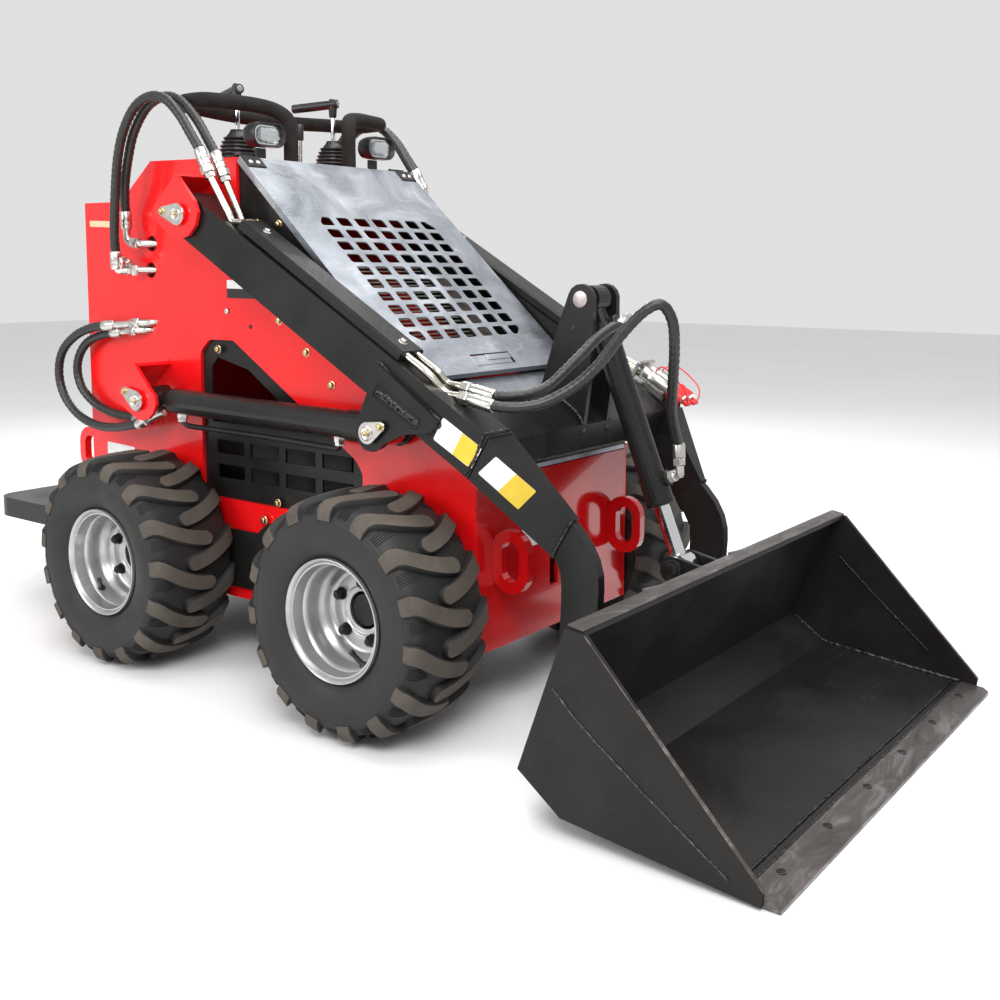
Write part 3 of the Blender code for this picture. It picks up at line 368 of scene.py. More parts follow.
    n.set(Base_Color=n.ramp(n.noise(60, 3), [(0.3, (0.62, 0.63, 0.62)), (0.8, (0.80, 0.80, 0.78))]), Metallic=1.0, Roughness=0.12)
    n.bump(n.voronoi(160), 0.35, 0.002)
    M["reflector"] = n.m
    n = Nodes("cooler_fins")
    w = n.t.nodes.new("ShaderNodeTexWave")
    w.inputs["Scale"].default_value = 40
    w.inputs["Distortion"].default_value = 1.0
    n.link(n.co, w.inputs["Vector"])
    col = n.ramp(n.noise(26, 6), [(0.3, (0.26, 0.25, 0.215)), (0.75, (0.52, 0.51, 0.45))])
    n.set(Base_Color=col, Metallic=0.6, Roughness=0.40)
    n.bump(w.outputs["Fac"], 0.2, 0.0008)
    M["fins"] = n.m
    n = Nodes("engine_cast_metal")
    n.set(Base_Color=n.ramp(n.noise(14, 7), [(0.3, (0.018, 0.017, 0.017)), (0.8, (0.055, 0.048, 0.044))]), Roughness=0.6, Metallic=0.3)
    n.bump(n.noise(80, 5), 0.4, 0.002)
    M["engine"] = n.m
    n = Nodes("rusty_fan_housing")
    n.set(Base_Color=n.ramp(n.noise(40, 7, 0.7), [(0.35, (0.030, 0.022, 0.018)), (0.7, (0.11, 0.080, 0.065))]), Roughness=0.6, Metallic=0.2)
    n.bump(n.noise(120, 5), 0.4, 0.0015)
    M["rusty"] = n.m
    n = Nodes("coupler_grey")
    n.set(Base_Color=n.ramp(n.noise(50, 5), [(0.3, (0.28, 0.28, 0.27)), (0.8, (0.44, 0.43, 0.41))]), Metallic=0.9, Roughness=0.34)
    n.bump(n.noise(200, 3), 0.08, 0.0005)
    M["coupler"] = n.m


build_materials()


def paint(name, mat):
    ob = N[name]
    ob.data.materials.clear()
    ob.data.materials.append(mat)


# =============================================================== shape helpers
KITS = {}


def kit(body, mat, name=None, smooth=35):
    """The mesh that gathers all the small pieces of one material on one body."""
    key = name or ("%s_%s" % (body, mat))
    if key not in KITS:
        KITS[key] = (bmesh.new(), body, mat, smooth)
    return KITS[key][0]


def frame_of(d):
    d = Vector(d).normalized()
    ref = Vector((0, 0, 1)) if abs(d.z) < 0.9 else Vector((1, 0, 0))
    a = d.cross(ref).normalized()
    return a, d.cross(a).normalized(), d


def skin(bm, rows, closed=False, caps=True):
    """Joins rows of vertices into a tube-like surface."""
    n = len(rows[0])
    last = len(rows) if closed else len(rows) - 1
    for j in range(last):
        A, B = rows[j], rows[(j + 1) % len(rows)]
        for i in range(n):
            k = (i + 1) % n
            bm.faces.new((A[i], A[k], B[k], B[i]))
    if caps and not closed:
        bm.faces.new(rows[0][::-1])
        bm.faces.new(rows[-1])


def turned(bm, p, d, profile, n=24, start=0.0):
    """A turned piece along d from p: profile of (along, radius), closed with end caps."""
    a, b, d = frame_of(d)
    p = Vector(p)
    rows = []
    for s, r in profile:
        rows.append([bm.verts.new(p + d * s + (a * math.cos(start + 2 * math.pi * i / n)
                                               + b * math.sin(start + 2 * math.pi * i / n)) * max(r, 1e-5)) for i in range(n)])
    skin(bm, rows)


def bar(bm, p0, p1, r, n=12, c=0.0):
    p0, p1 = Vector(p0), Vector(p1)
    L = (p1 - p0).length
    c = min(c or r * 0.12, L * 0.3)
    turned(bm, p0, p1 - p0, [(0, r - c), (c, r), (L - c, r), (L, r - c)], n)


def hexnut(bm, p, d, r, h, washer=True):
    """A hexagon bolt head with its washer, standing on p along d."""
    if washer:
        turned(bm, p, d, [(0, r * 1.28), (h * 0.16, r * 1.28), (h * 0.20, r * 1.22)], 18)
    q = Vector(p) + Vector(d).normalized() * h * 0.2
    turned(bm, q, d, [(0, r), (h * 0.62, r), (h * 0.80, r * 0.86)], 6, random.random())
    turned(bm, q, d, [(h * 0.3, r * 0.80), (h * 0.80, r * 0.80), (h * 0.86, r * 0.70)], 18)


def block(bm, c, ax, ay, az, hx, hy, hz, bev=0.0):
    """A box with chamfered edges, half sizes hx, hy, hz along its own axes."""
    c = Vector(c)
    ax, ay, az = Vector(ax).normalized(), Vector(ay).normalized(), Vector(az).normalized()
    bev = min(bev, hx * 0.45, hy * 0.45, hz * 0.45)
    rows = []
    for z, g in ((-hz, bev), (-hz + bev, 0), (hz - bev, 0), (hz, bev)) if bev > 0 else ((-hz, 0), (hz, 0)):
        row = []
        X, Y = hx - g, hy - g
        if bev > 0:
            pts = [(X, -Y + bev), (X, Y - bev), (X - bev, Y), (-X + bev, Y), (-X, Y - bev), (-X, -Y + bev), (-X + bev, -Y), (X - bev, -Y)]
        else:
            pts = [(X, -Y), (X, Y), (-X, Y), (-X, -Y)]
        for x, y in pts:
            row.append(bm.verts.new(c + ax * x + ay * y + az * z))
        rows.append(row)
    skin(bm, rows)


def prism(bm, pts, at, h, ax, ay, az, bev=0.0):
    """A flat shape of points (x, y) in the plane ax, ay at 'at', h thick along az, edges chamfered on the far side."""
    at = Vector(at)
    ax, ay, az = Vector(ax).normalized(), Vector(ay).normalized(), Vector(az).normalized()
    area = sum(pts[i][0] * pts[(i + 1) % len(pts)][1] - pts[(i + 1) % len(pts)][0] * pts[i][1] for i in range(len(pts)))
    if area < 0:
        pts = pts[::-1]

    def ring(z, g):
        out = []
        m = len(pts)
        for i in range(m):
            p0, p1, p2 = Vector(pts[i - 1]), Vector(pts[i]), Vector(pts[(i + 1) % m])
            e1, e2 = (p1 - p0).normalized(), (p2 - p1).normalized()
            n1, n2 = Vector((-e1.y, e1.x)), Vector((-e2.y, e2.x))
            nn = (n1 + n2)
            if nn.length < 1e-6:
                nn = n1
            nn.normalize()
            k = g / max(0.35, nn.dot(n1))
            q = p1 + nn * k
            out.append(bm.verts.new(at + ax * q.x + ay * q.y + az * z))
        return out
    rows = [ring(0, 0), ring(h - bev, 0), ring(h, bev)] if bev > 0 else [ring(0, 0), ring(h, 0)]
    skin(bm, rows)


def rounded(pts, r, n=4):
    out = []
    m = len(pts)
    for i in range(m):
        p0, p1, p2 = Vector(pts[i - 1]), Vector(pts[i]), Vector(pts[(i + 1) % m])
        rr = r[i] if isinstance(r, (list, tuple)) else r
        a, b = (p0 - p1), (p2 - p1)
        la, lb = a.length, b.length
        a.normalize(); b.normalize()
        ang = math.acos(max(-1, min(1, a.dot(b))))
        if rr <= 0 or ang > math.radians(176):
            out.append((p1.x, p1.y))
            continue
        t = min(rr / math.tan(ang / 2), 0.48 * la, 0.48 * lb)
        rr = t * math.tan(ang / 2)
        c = p1 + (a + b).normalized() * (rr / math.sin(ang / 2))
        s, e = p1 + a * t - c, p1 + b * t - c
        a0, a1 = math.atan2(s.y, s.x), math.atan2(e.y, e.x)
        d = (a1 - a0 + math.pi) % (2 * math.pi) - math.pi
        for k in range(n + 1):
            q = a0 + d * k / n
            out.append((c.x + rr * math.cos(q), c.y + rr * math.sin(q)))
    return out


def route(pts, step=None, count=None, per=12):
    """Points along a smooth curve through the given ones."""
    P = [Vector(p) for p in pts]
    P = [2 * P[0] - P[1]] + P + [2 * P[-1] - P[-2]]
    fine = []
    for i in range(1, len(P) - 2):
        a, b, c, d = P[i - 1], P[i], P[i + 1], P[i + 2]
        for k in range(per):
            t = k / per
            fine.append(0.5 * ((2 * b) + (c - a) * t + (2 * a - 5 * b + 4 * c - d) * t * t + (3 * b - a - 3 * c + d) * t ** 3))
    fine.append(P[-2])
    L = [0.0]
    for u, v in zip(fine, fine[1:]):
        L.append(L[-1] + (v - u).length)
    count = count or max(3, int(round(L[-1] / step)) + 1)
    out, j = [], 0
    for k in range(count):
        s = L[-1] * k / (count - 1)
        while j < len(L) - 2 and L[j + 1] < s:
            j += 1
        t = (s - L[j]) / max(L[j + 1] - L[j], 1e-9)
        out.append(fine[j].lerp(fine[j + 1], min(1, max(0, t))))
    return out, L[-1]


def tube(bm, pts, r, n=12, radius=None):
    """A round bar along points; radius(i, share, angle) may vary it."""
    P = [Vector(p) for p in pts]
    m = len(P)
    T = [(P[min(m - 1, i + 1)] - P[max(0, i - 1)]).normalized() for i in range(m)]
    a, b, _ = frame_of(T[0])
    u = a
    rows = []
    for i, p in enumerate(P):
        u = (u - T[i] * u.dot(T[i])).normalized()
        v = T[i].cross(u)
        row = []
        for k in range(n):
            q = 2 * math.pi * k / n
            rr = radius(i, i / (m - 1), q) if radius else r
            row.append(bm.verts.new(p + rr * (math.cos(q) * u + math.sin(q) * v)))
        rows.append(row)
    skin(bm, rows)


def weld(bm, pts, r=0.0035, step=0.0028, flat=0.0):
    """A weld bead: an uneven rope of metal along the points."""
    P, L = route(pts, step=step, per=8)
    j = [random.uniform(0.72, 1.22) for _ in P]
    off = [Vector((random.uniform(-1, 1), random.uniform(-1, 1), random.uniform(-1, 1))) * r * 0.16 for _ in P]
    tube(bm, [p + o for p, o in zip(P, off)], r, 6, lambda i, t, q: r * j[i])


def sticker(body, mat, corners, normal, lift=0.0004, thick=0.0006, r=0.004, name=None):
    """A thin label lying on a flat face: four corners in order."""
    C = [Vector(c) for c in corners]
    nrm = Vector(normal).normalized()
    ax = (C[1] - C[0]).normalized()
    ay = nrm.cross(ax).normalized()
    pts = [((c - C[0]).dot(ax), (c - C[0]).dot(ay)) for c in C]
    prism(kit(body, mat, name), rounded(pts, r, 3), C[0] + nrm * lift, thick, ax, ay, nrm)


def make(name, bm, mat, body=None, smooth=35, mats=None):
    bmesh.ops.recalc_face_normals(bm, faces=bm.faces)
    me = bpy.data.meshes.new(name)
    bm.to_mesh(me)
    bm.free()
    for m in (mats or [mat]):
        me.materials.append(m)
    me.shade_smooth()
    me.set_sharp_from_angle(angle=math.radians(smooth))
    ob = bpy.data.objects.new(name, me)
    bpy.context.collection.objects.link(ob)
    if body:
        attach(ob, body)
    return ob


# =============================================================== hoses (cords first)
HOSE_R = 0.0105


def spiral_hose(name, pts, r, a=None, b=None, body=None, nodes=(), turns=0.013):
    """A hydraulic hose in its spiral guard: a tube with a raised helical band."""
    P, L = route(pts, step=0.0045, per=14)
    path, _ = route(pts, count=40, per=14)
    bm = bmesh.new()
    n = 14

    def rad(i, t, q):
        ph = (t * L / turns) * 2 * math.pi - q
        w = 0.5 + 0.5 * math.cos(ph)
        return r * (0.90 + 0.10 * min(1.0, w * 1.9))
    tube(bm, P, r, n, rad)
    ob = make(name, bm, M["hose"], smooth=60)
    for x in nodes:
        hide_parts(x)
    if a and b:
        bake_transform(ob)
    else:
        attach(ob, body)
    return ob


UP1 = [(0.322, 0.8150, 0.885), (0.327, 0.8100, 0.930), (0.333, 0.795, 1.002), (0.335, 0.778, 1.088), (0.335, 0.752, 1.151),
       (0.335, 0.709, 1.197), (0.335, 0.655, 1.2145), (0.335, 0.604, 1.203), (0.335, 0.560, 1.168), (0.335, 0.529, 1.131),
       (0.335, 0.501, 1.097)]
UP2 = [(0.294, 0.8120, 0.975), (0.300, 0.806, 1.000), (0.307, 0.793, 1.040), (0.308, 0.778, 1.091), (0.308, 0.755, 1.146),
       (0.308, 0.712, 1.193), (0.308, 0.664, 1.2135), (0.308, 0.618, 1.213), (0.308, 0.575, 1.192), (0.308, 0.535, 1.155),
       (0.308, 0.507, 1.119), (0.308, 0.484, 1.089)]
LO1 = [(0.300, 0.8980, 0.7195), (0.306, 0.938, 0.714), (0.312, 0.990, 0.696), (0.314, 1.040, 0.663), (0.315, 1.062, 0.624),
       (0.315, 1.062, 0.580), (0.315, 1.037, 0.538), (0.313, 0.985, 0.502), (0.310, 0.922, 0.486), (0.309, 0.850, 0.488),
       (0.309, 0.765, 0.503)]
LO2 = [(0.284, 0.890, 0.703), (0.287, 0.940, 0.694), (0.288, 0.990, 0.674), (0.288, 1.022, 0.640), (0.288, 1.030, 0.603),
       (0.287, 1.014, 0.565), (0.284, 0.975, 0.535), (0.282, 0.930, 0.519), (0.281, 0.880, 0.512), (0.280, 0.815, 0.510)]
TH1 = [(-0.310, -0.2380, 0.6200), (-0.300, -0.260, 0.6180), (-0.285, -0.280, 0.6180),
       (-0.262, -0.307, 0.624), (-0.240, -0.330, 0.638), (-0.215, -0.355, 0.660), (-0.190, -0.382, 0.695), (-0.168, -0.412, 0.745),
       (-0.152, -0.446, 0.785), (-0.134, -0.470, 0.797), (-0.116, -0.482, 0.769), (-0.099, -0.478, 0.722), (-0.074, -0.463, 0.662),
       (-0.045, -0.446, 0.602), (-0.016, -0.438, 0.560), (0.003, -0.436, 0.534)]
TH2 = [(-0.284, -0.2230, 0.634), (-0.270, -0.248, 0.634), (-0.245, -0.272, 0.638), (-0.215, -0.290, 0.650),
       (-0.180, -0.305, 0.678), (-0.145, -0.316, 0.705), (-0.110, -0.325, 0.732), (-0.075, -0.333, 0.750), (-0.048, -0.335, 0.752)]


def hoses():
    for tag, s in SIDES:
        for nm, rt in (("upper_hose_1_", UP1), ("upper_hose_2_", UP2)):
            pts = [W(s * x, y, z) for x, y, z in rt]
            spiral_hose("guarded_" + nm + tag, pts, HOSE_R, "chassis", "lift_arms",
                        nodes=[nm + tag])
        for nm, rt in (("lower_hose_1_", LO1), ("lower_hose_2_", LO2)):
            pts = [W(s * x, y, z) for x, y, z in rt]
            spiral_hose("guarded_" + nm + tag, pts, HOSE_R, "chassis", "lift_barrel_" + tag,
                        nodes=[nm + tag])
    for nm, rt, st, en in (("tilt_hose_1", TH1, W(-0.28, -0.27, 0.63), W(-0.05, -0.46, 0.62)),
                           ("tilt_hose_2", TH2, W(-0.25, -0.26, 0.64), W(-0.08, -0.33, 0.74))):
        spiral_hose("guarded_" + nm, [W(*p) for p in rt], 0.0100, "lift_arms", "tilt_barrel", nodes=[nm])


hoses()

# =============================================================== wheels
TYRE_R, TRACK, WB = 0.2285, 0.383, 0.689
CARC = [(0.0830, 0.1035), (0.0842, 0.1160), (0.0885, 0.1200), (0.0925, 0.1255), (0.0960, 0.1310), (0.0990, 0.1390), (0.1015, 0.1480),
        (0.1032, 0.1580), (0.1038, 0.1670), (0.1036, 0.1760), (0.1026, 0.1830), (0.1030, 0.1846), (0.1020, 0.1862), (0.1005, 0.1905),
        (0.1006, 0.1920), (0.0990, 0.1936), (0.0955, 0.1985), (0.0900, 0.2045), (0.0820, 0.2090), (0.0700, 0.2118), (0.0480, 0.2142),
        (0.0240, 0.2158), (0.0, 0.2162)]


def wheel_mesh(s):
    """Carcass, lugs and ribs of one tyre, round the x axis at the origin; s is not used."""
    bm = bmesh.new()
    prof = CARC + [(-a, r) for a, r in CARC[::-1][1:]]
    n = 96
    rows = []
    for k in range(n):
        t = 2 * math.pi * k / n
        rows.append([bm.verts.new((a, r * math.cos(t), r * math.sin(t))) for a, r in prof])
    m = len(prof)
    for k in range(n):
        A, B = rows[k], rows[(k + 1) % n]
        for i in range(m - 1):
            bm.faces.new((A[i], A[i + 1], B[i + 1], B[i]))
        bm.faces.new((A[m - 1], A[0], B[0], B[m - 1]))
    for f in bm.faces:
        f.material_index = 0
    count = 15
    top = [(-0.034, 0.2272), (-0.030, 0.2277), (-0.022, 0.2282), (-0.010, 0.2285), (0.006, 0.2285), (0.022, 0.2282), (0.038, 0.2274),
           (0.052, 0.2262), (0.066, 0.2246), (0.078, 0.2228), (0.0880, 0.2196), (0.0965, 0.2130), (0.1025, 0.2030), (0.1040, 0.1940), (0.1036, 0.1865)]
    low = [(-0.034, 0.2130), (-0.030, 0.2132), (-0.022, 0.2136), (-0.010, 0.2140), (0.006, 0.2140), (0.022, 0.2136), (0.038, 0.2128),
           (0.052, 0.2116), (0.064, 0.2100), (0.074, 0.2078), (0.0830, 0.2040), (0.0905, 0.1990), (0.0950, 0.1940), (0.0975, 0.1890), (0.0985, 0.1850)]
    tip_r = 0.0165
    for side in (1, -1):
        for j in range(count):
            phase = 2 * math.pi * (j + (0.5 if side < 0 else 0.0)) / count
            rows = []
            for i, ((a, r), (al, rl)) in enumerate(zip(top, low)):
                along = (0.094 - a) / 0.128
                off = 0.050 * (along - 0.5 * along * along) * 2 if along > 0 else 0.0
                hw = 0.0168 + 0.0022 * min(1, max(0, (a - 0.02) / 0.08))
                d = a + 0.034
                if d < tip_r:
                    hw *= max(0.16, math.sqrt(max(0, 1 - (1 - d / tip_r) ** 2)))
                hb = hw + 0.0034
                row = []
                for w, rad_, ax in ((-hb, rl, al), (-hw - 0.0006, r - 0.0022, a), (-hw + 0.0016, r, a), (hw - 0.0016, r, a), (hw + 0.0006, r - 0.0022, a), (hb, rl, al)):
                    th = phase + (off + w) / 0.2285 * (1 if True else 1)
                    row.append(bm.verts.new((side * ax, rad_ * math.cos(th), rad_ * math.sin(th))))
                rows.append(row)
            c = len(rows[0])
            for A, B in zip(rows, rows[1:]):
                for k in range(c):
                    q = (k + 1) % c
                    f = bm.faces.new((A[k], A[q], B[q], B[k]))
                    f.material_index = 1 if k == 2 else 0
            f = bm.faces.new(rows[0][::-1]); f.material_index = 0
            f = bm.faces.new(rows[-1]); f.material_index = 0
            # the group of fine ribs between two shoulder blocks
            for k in range(5):
                th = phase + (0.033 + 0.0052 * k) / 0.2285
                rp = []
                for a, r in ((0.0600, 0.2126), (0.0720, 0.2112), (0.0830, 0.2084), (0.0915, 0.2034), (0.0975, 0.1966)):
                    row = []
                    for w, h in ((-0.0015, -0.0018), (-0.0010, 0.0016), (0.0010, 0.0016), (0.0015, -0.0018)):
                        t2 = th - (0.090 - a) * 0.10 / 0.2285 + w / 0.2285
                        row.append(bm.verts.new((side * (a + h * 0.55), (r + h) * math.cos(t2), (r + h) * math.sin(t2))))
                    rp.append(row)
                before = len(bm.faces)
                skin(bm, rp)
    bmesh.ops.recalc_face_normals(bm, faces=bm.faces)
    return bm


def rim_mesh(s):
    bm = bmesh.new()
    prof = [(0.0905, 0.1146), (0.0930, 0.1138), (0.0935, 0.1120), (0.0918, 0.1096), (0.0895, 0.1078), (0.0850, 0.1052), (0.0790, 0.1036), (0.0690, 0.1030),
            (0.0650, 0.1018), (0.0625, 0.0985), (0.0595, 0.0958), (0.0540, 0.0944), (0.0400, 0.0938), (0.0330, 0.0936), (0.0285, 0.0920), (0.0240, 0.0880),
            (0.0200, 0.0848), (0.0140, 0.0826), (0.0090, 0.0800), (0.0060, 0.0762), (0.0048, 0.0715), (0.0052, 0.0700), (0.0078, 0.0690), (0.0084, 0.0676), (0.0084, 0.0480),
            (0.0076, 0.0465), (0.0050, 0.0455), (0.0042, 0.0440), (0.0042, 0.0372), (0.0036, 0.0360), (-0.0030, 0.0360), (-0.0040, 0.0375), (-0.0040, 0.0800), (-0.0200, 0.0860), (-0.0330, 0.0930),
            (-0.0620, 0.0960), (-0.0800, 0.1010), (-0.0900, 0.1085), (-0.0935, 0.1120), (-0.0930, 0.1138), (-0.0905, 0.1146), (-0.0862, 0.1146),
            (-0.0852, 0.1030), (-0.0600, 0.0990), (0.0600, 0.0990), (0.0852, 0.1030), (0.0862, 0.1146)]
    n = 72
    rows = []
    for k in range(n):
        t = 2 * math.pi * k / n
        rows.append([bm.verts.new((s * a, r * math.cos(t), r * math.sin(t))) for a, r in prof])
    skin(bm, rows, closed=True)
    return bm


def wheels():
    for ax, y in (("F", 0.0), ("R", WB)):
        for tag, s in SIDES:
            c = W(s * TRACK, y, TYRE_R)
            body = "wheel_%s%s" % (ax, tag)
            spin = {"FR": 0.10, "RR": 0.33, "FL": 0.5, "RL": 0.8}[ax + tag]
            bm = wheel_mesh(s)
            R = Matrix.Rotation(spin, 4, "X")
            bmesh.ops.transform(bm, matrix=Matrix.Translation(c) @ R, verts=bm.verts)
            ob = make("treaded_tyre_" + ax + tag, bm, None, body, 38, mats=[M["tyre"], M["lug"]])
            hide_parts("tyre_" + ax + tag)
            bm = rim_mesh(s)
            bmesh.ops.transform(bm, matrix=Matrix.Translation(c), verts=bm.verts)
            ob = make("dished_rim_" + ax + tag, bm, M["rim"], body, 50)
            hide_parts("rim_" + ax + tag)
            nuts = kit(body, "black", "wheel_nuts_" + ax + tag)
            base = 26 if ax == "F" else 31
            for k in range(5):
                t = math.radians(base - 72 * k)
                p = c + Vector((s * 0.0084, 0.057 * math.cos(t), 0.057 * math.sin(t)))
                turned(nuts, p, (s, 0, 0), [(0, 0.0125), (0.002, 0.0125), (0.0025, 0.0118)], 20)
                turned(nuts, p + Vector((s * 0.002, 0, 0)), (s, 0, 0), [(0, 0.0108), (0.010, 0.0108), (0.0125, 0.0092)], 6, t)
                turned(nuts, p + Vector((s * 0.010, 0, 0)), (s, 0, 0), [(0, 0.0086), (0.004, 0.0082), (0.0075, 0.0062), (0.009, 0.0030)], 16)
            # valve
            t = math.radians(-52 if ax == "R" else -118)
            p = c + Vector((s * 0.052, 0.0935 * math.cos(t), 0.0935 * math.sin(t)))
            inward = Vector((s * 0.55, -math.cos(t), -math.sin(t)))
            turned(kit(body, "boot", "valve_" + ax + tag), p, inward, [(-0.004, 0.0085), (0.002, 0.0080), (0.006, 0.0052), (0.026, 0.0045), (0.028, 0.0056), (0.036, 0.0056), (0.038, 0.0040)], 14)


wheels()

# =============================================================== CAD nodes keep their shape, get their finish
for nm in ("side_plate_R", "side_plate_L", "rear_panel", "console_top"):
    paint(nm, M["red"])
paint("front_plate", M["red_gloss"])
for nm in ("floor_plate", "hood_frame", "grille_R", "grille_L", "axle_carrier_R", "axle_carrier_L", "lift_arm_R", "lift_arm_L", "arm_cross_member",
           "pipe_cover_R", "pipe_cover_L", "quick_attach_plate", "foot_platform", "lift_barrel_R", "lift_barrel_L", "tilt_barrel"):
    paint(nm, M["black"])
paint("front_deck", M["steel"])
paint("engine_block", M["engine"])
paint("bucket_shell", M["bucket"])
paint("cutting_edge", M["worn"])
for nm in ("lift_rod_R", "lift_rod_L", "tilt_rod"):
    paint(nm, M["chrome"])
for nm in ("throttle_lever", "aux_couplers"):
    paint(nm, M["zinc"])
for nm in ("hand_rail_R", "hand_rail_L"):
    paint(nm, M["foam"])
for nm in ("joystick_R", "joystick_L", "headlight_R", "headlight_L"):
    paint(nm, M["boot"])

# =============================================================== hood
HOOD_TOP, HOOD_BOT = (0.474, 1.0805), (-0.009, 0.6390)
ux = Vector((HOOD_BOT[0] - HOOD_TOP[0], HOOD_BOT[1] - HOOD_TOP[1])).normalized()
un = Vector((-ux.y, ux.x))
if un.y < 0:
    un = -un
HOOD_L = (Vector(HOOD_BOT) - Vector(HOOD_TOP)).length
HS = Vector((0, ux.x, ux.y))
HN = Vector((0, un.x, un.y))


def hood_at(x, s, h):
    return W(x, HOOD_TOP[0] + ux.x * s + un.x * h, HOOD_TOP[1] + ux.y * s + un.y * h)


def hood():
    cols, rows_ = 7, 10
    px, ps = 0.05435, 0.0378
    s0 = 0.1915 + 0.0131 - 0.0189
    x0 = -0.1800 + 0.0182 - px / 2
    hw, hh, rr = 0.0182, 0.0131, 0.0060
    holes = []
    for i in range(cols):
        for j in range(rows_):
            cx, cs = x0 + px * (i + 0.5), s0 + ps * (j + 0.5)
            q = [(cx - hw, cs - hh), (cx + hw, cs - hh), (cx + hw, cs + hh), (cx - hw, cs + hh)]
            if (i, j) == (0, 0):
                q = [(cx - hw * 0.2, cs - hh), (cx + hw, cs - hh), (cx + hw, cs + hh), (cx - hw, cs + hh), (cx - hw, cs + hh * 0.3)]
            if (i, j) == (cols - 1, 0):
                q = [(cx - hw, cs - hh), (cx + hw * 0.0, cs - hh), (cx + hw, cs + hh * 0.5), (cx + hw, cs + hh), (cx - hw, cs + hh)]
            if (i, j) == (0, rows_ - 1):
                q = [(cx - hw, cs - hh), (cx + hw, cs - hh), (cx + hw, cs + hh), (cx + hw * 0.1, cs + hh), (cx - hw, cs - hh * 0.3)]
            if (i, j) == (cols - 1, rows_ - 1):
                q = [(cx - hw, cs - hh), (cx + hw, cs - hh), (cx + hw, cs - hh * 0.3), (cx - hw * 0.1, cs + hh), (cx - hw, cs + hh)]
            holes.append(rounded(q, rr, 4))
    # the latch's cut-out
    latch = [(-0.0555, 0.6062), (0.0755, 0.6062), (0.0755, 0.6385), (-0.0555, 0.6385)]
    bm = bmesh.new()
    out = [(-0.266, 0.008), (0.266, 0.008), (0.266, HOOD_L), (-0.266, HOOD_L)]
    prism(bm, out, hood_at(0, 0, 0.0112), 0.0028, (1, 0, 0), HS, HN)
    top = make("perforated_hood", bm, M["steel"], None, 30)
    cutter = bmesh.new()
    for q in holes + [rounded(latch, 0.003, 2)]:
        prism(cutter, q, hood_at(0, 0, 0.004), 0.02, (1, 0, 0), HS, HN)
    cut = make("hood_cutter", cutter, M["steel"], None, 30)
    md = top.modifiers.new("holes", "BOOLEAN")
    md.operation, md.solver, md.object = "DIFFERENCE", "EXACT", cut
    dg = bpy.context.evaluated_depsgraph_get()
    me = bpy.data.meshes.new_from_object(top.evaluated_get(dg))
    top.modifiers.clear()
    top.data = me
    bpy.data.objects.remove(cut)
    bm = bmesh.new()
    bm.from_mesh(me)
    # folded rims all round
    block(bm, hood_at(-0.2648, HOOD_L / 2 + 0.004, 0.0056), (1, 0, 0), HS, HN, 0.0012, HOOD_L / 2 - 0.005, 0.0054)
    block(bm, hood_at(0.2648, HOOD_L / 2 + 0.004, 0.0056), (1, 0, 0), HS, HN, 0.0012, HOOD_L / 2 - 0.003, 0.0054)
    block(bm, hood_at(0, HOOD_L - 0.0015, 0.0056), (1, 0, 0), HS, HN, 0.258, 0.0012, 0.0054)
    block(bm, hood_at(0, 0.0096, 0.0056), (1, 0, 0), HS, HN, 0.258, 0.0012, 0.0054)
    bmesh.ops.recalc_face_normals(bm, faces=bm.faces)
    bm.to_mesh(me)
    bm.free()
    me.materials.clear()
    me.materials.append(M["steel"])
    me.shade_smooth()
    me.set_sharp_from_angle(angle=math.radians(30))
    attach(top, "hood")
    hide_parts("hood")
    # latch plates, set down in their cut-out
    k = kit("hood", "steel", "latch_plates", 30)
    block(k, hood_at(0.0080, 0.6225, 0.0108), (1, 0, 0), HS, HN, 0.0615, 0.0135, 0.0020, 0.0008)
    block(k, hood_at(0.0335, 0.6170, 0.0128), (1, 0, 0), HS, HN, 0.0390, 0.0075, 0.0018, 0.0006)
    # black plate under the latch cut-out: painted shade in the gaps round the latch plates
    block(kit("hood", "labelblack", "latch_recess", 30), hood_at(0.010, 0.6224, 0.0060), (1, 0, 0), HS, HN, 0.0660, 0.0165, 0.0010)
    # black hinge plates with two bolts each
    for s in (-1, 1):
        hp = kit("hood", "black", "hinge_leaves", 30)
        block(hp, hood_at(s * 0.2385, 0.0250, 0.0152), (1, 0, 0), HS, HN, 0.0250, 0.0165, 0.0012, 0.0006)
        fx = kit("chassis", "black", "hinge_fixed_leaves", 30)
        block(fx, W(s * 0.2385, 0.4895, 1.0828), (1, 0, 0), (0, 1, 0), (0, 0, 1), 0.0250, 0.0110, 0.0014, 0.0006)
        bar(fx, W(s * 0.2385 - 0.024, 0.4785, 1.0885), W(s * 0.2385 + 0.024, 0.4785, 1.0885), 0.0042, 12)
        for dx in (-0.010, 0.010):
            turned(kit("hood", "zinc", "hinge_screws", 40), hood_at(s * 0.2385 + dx, 0.0265, 0.0160), HN, [(0, 0.0060), (0.0012, 0.0058), (0.0026, 0.0042), (0.0030, 0.0020)], 14)
    # oil cooler under the lower rows: fins, tank and fan housing
    f = kit("chassis", "fins", "cooler_fins", 30)
    for q in range(27):
        sp = 0.300 + q * 0.0112
        block(f, hood_at(-0.055, sp, -0.030), (1, 0, 0), (HS * 0.75 + HN * 0.66), (HN * 0.75 - HS * 0.66), 0.142, 0.0052, 0.0011)
    for x in (-0.197, 0.087):
        block(kit("chassis", "black", "cooler_tanks", 30), hood_at(x, 0.440, -0.033), (1, 0, 0), HS, HN, 0.010, 0.155, 0.014, 0.004)
    block(kit("chassis", "rusty", "fan_housing", 30), hood_at(0.122, 0.450, -0.040), (1, 0, 0), HS, HN, 0.021, 0.130, 0.016, 0.006)


hood()

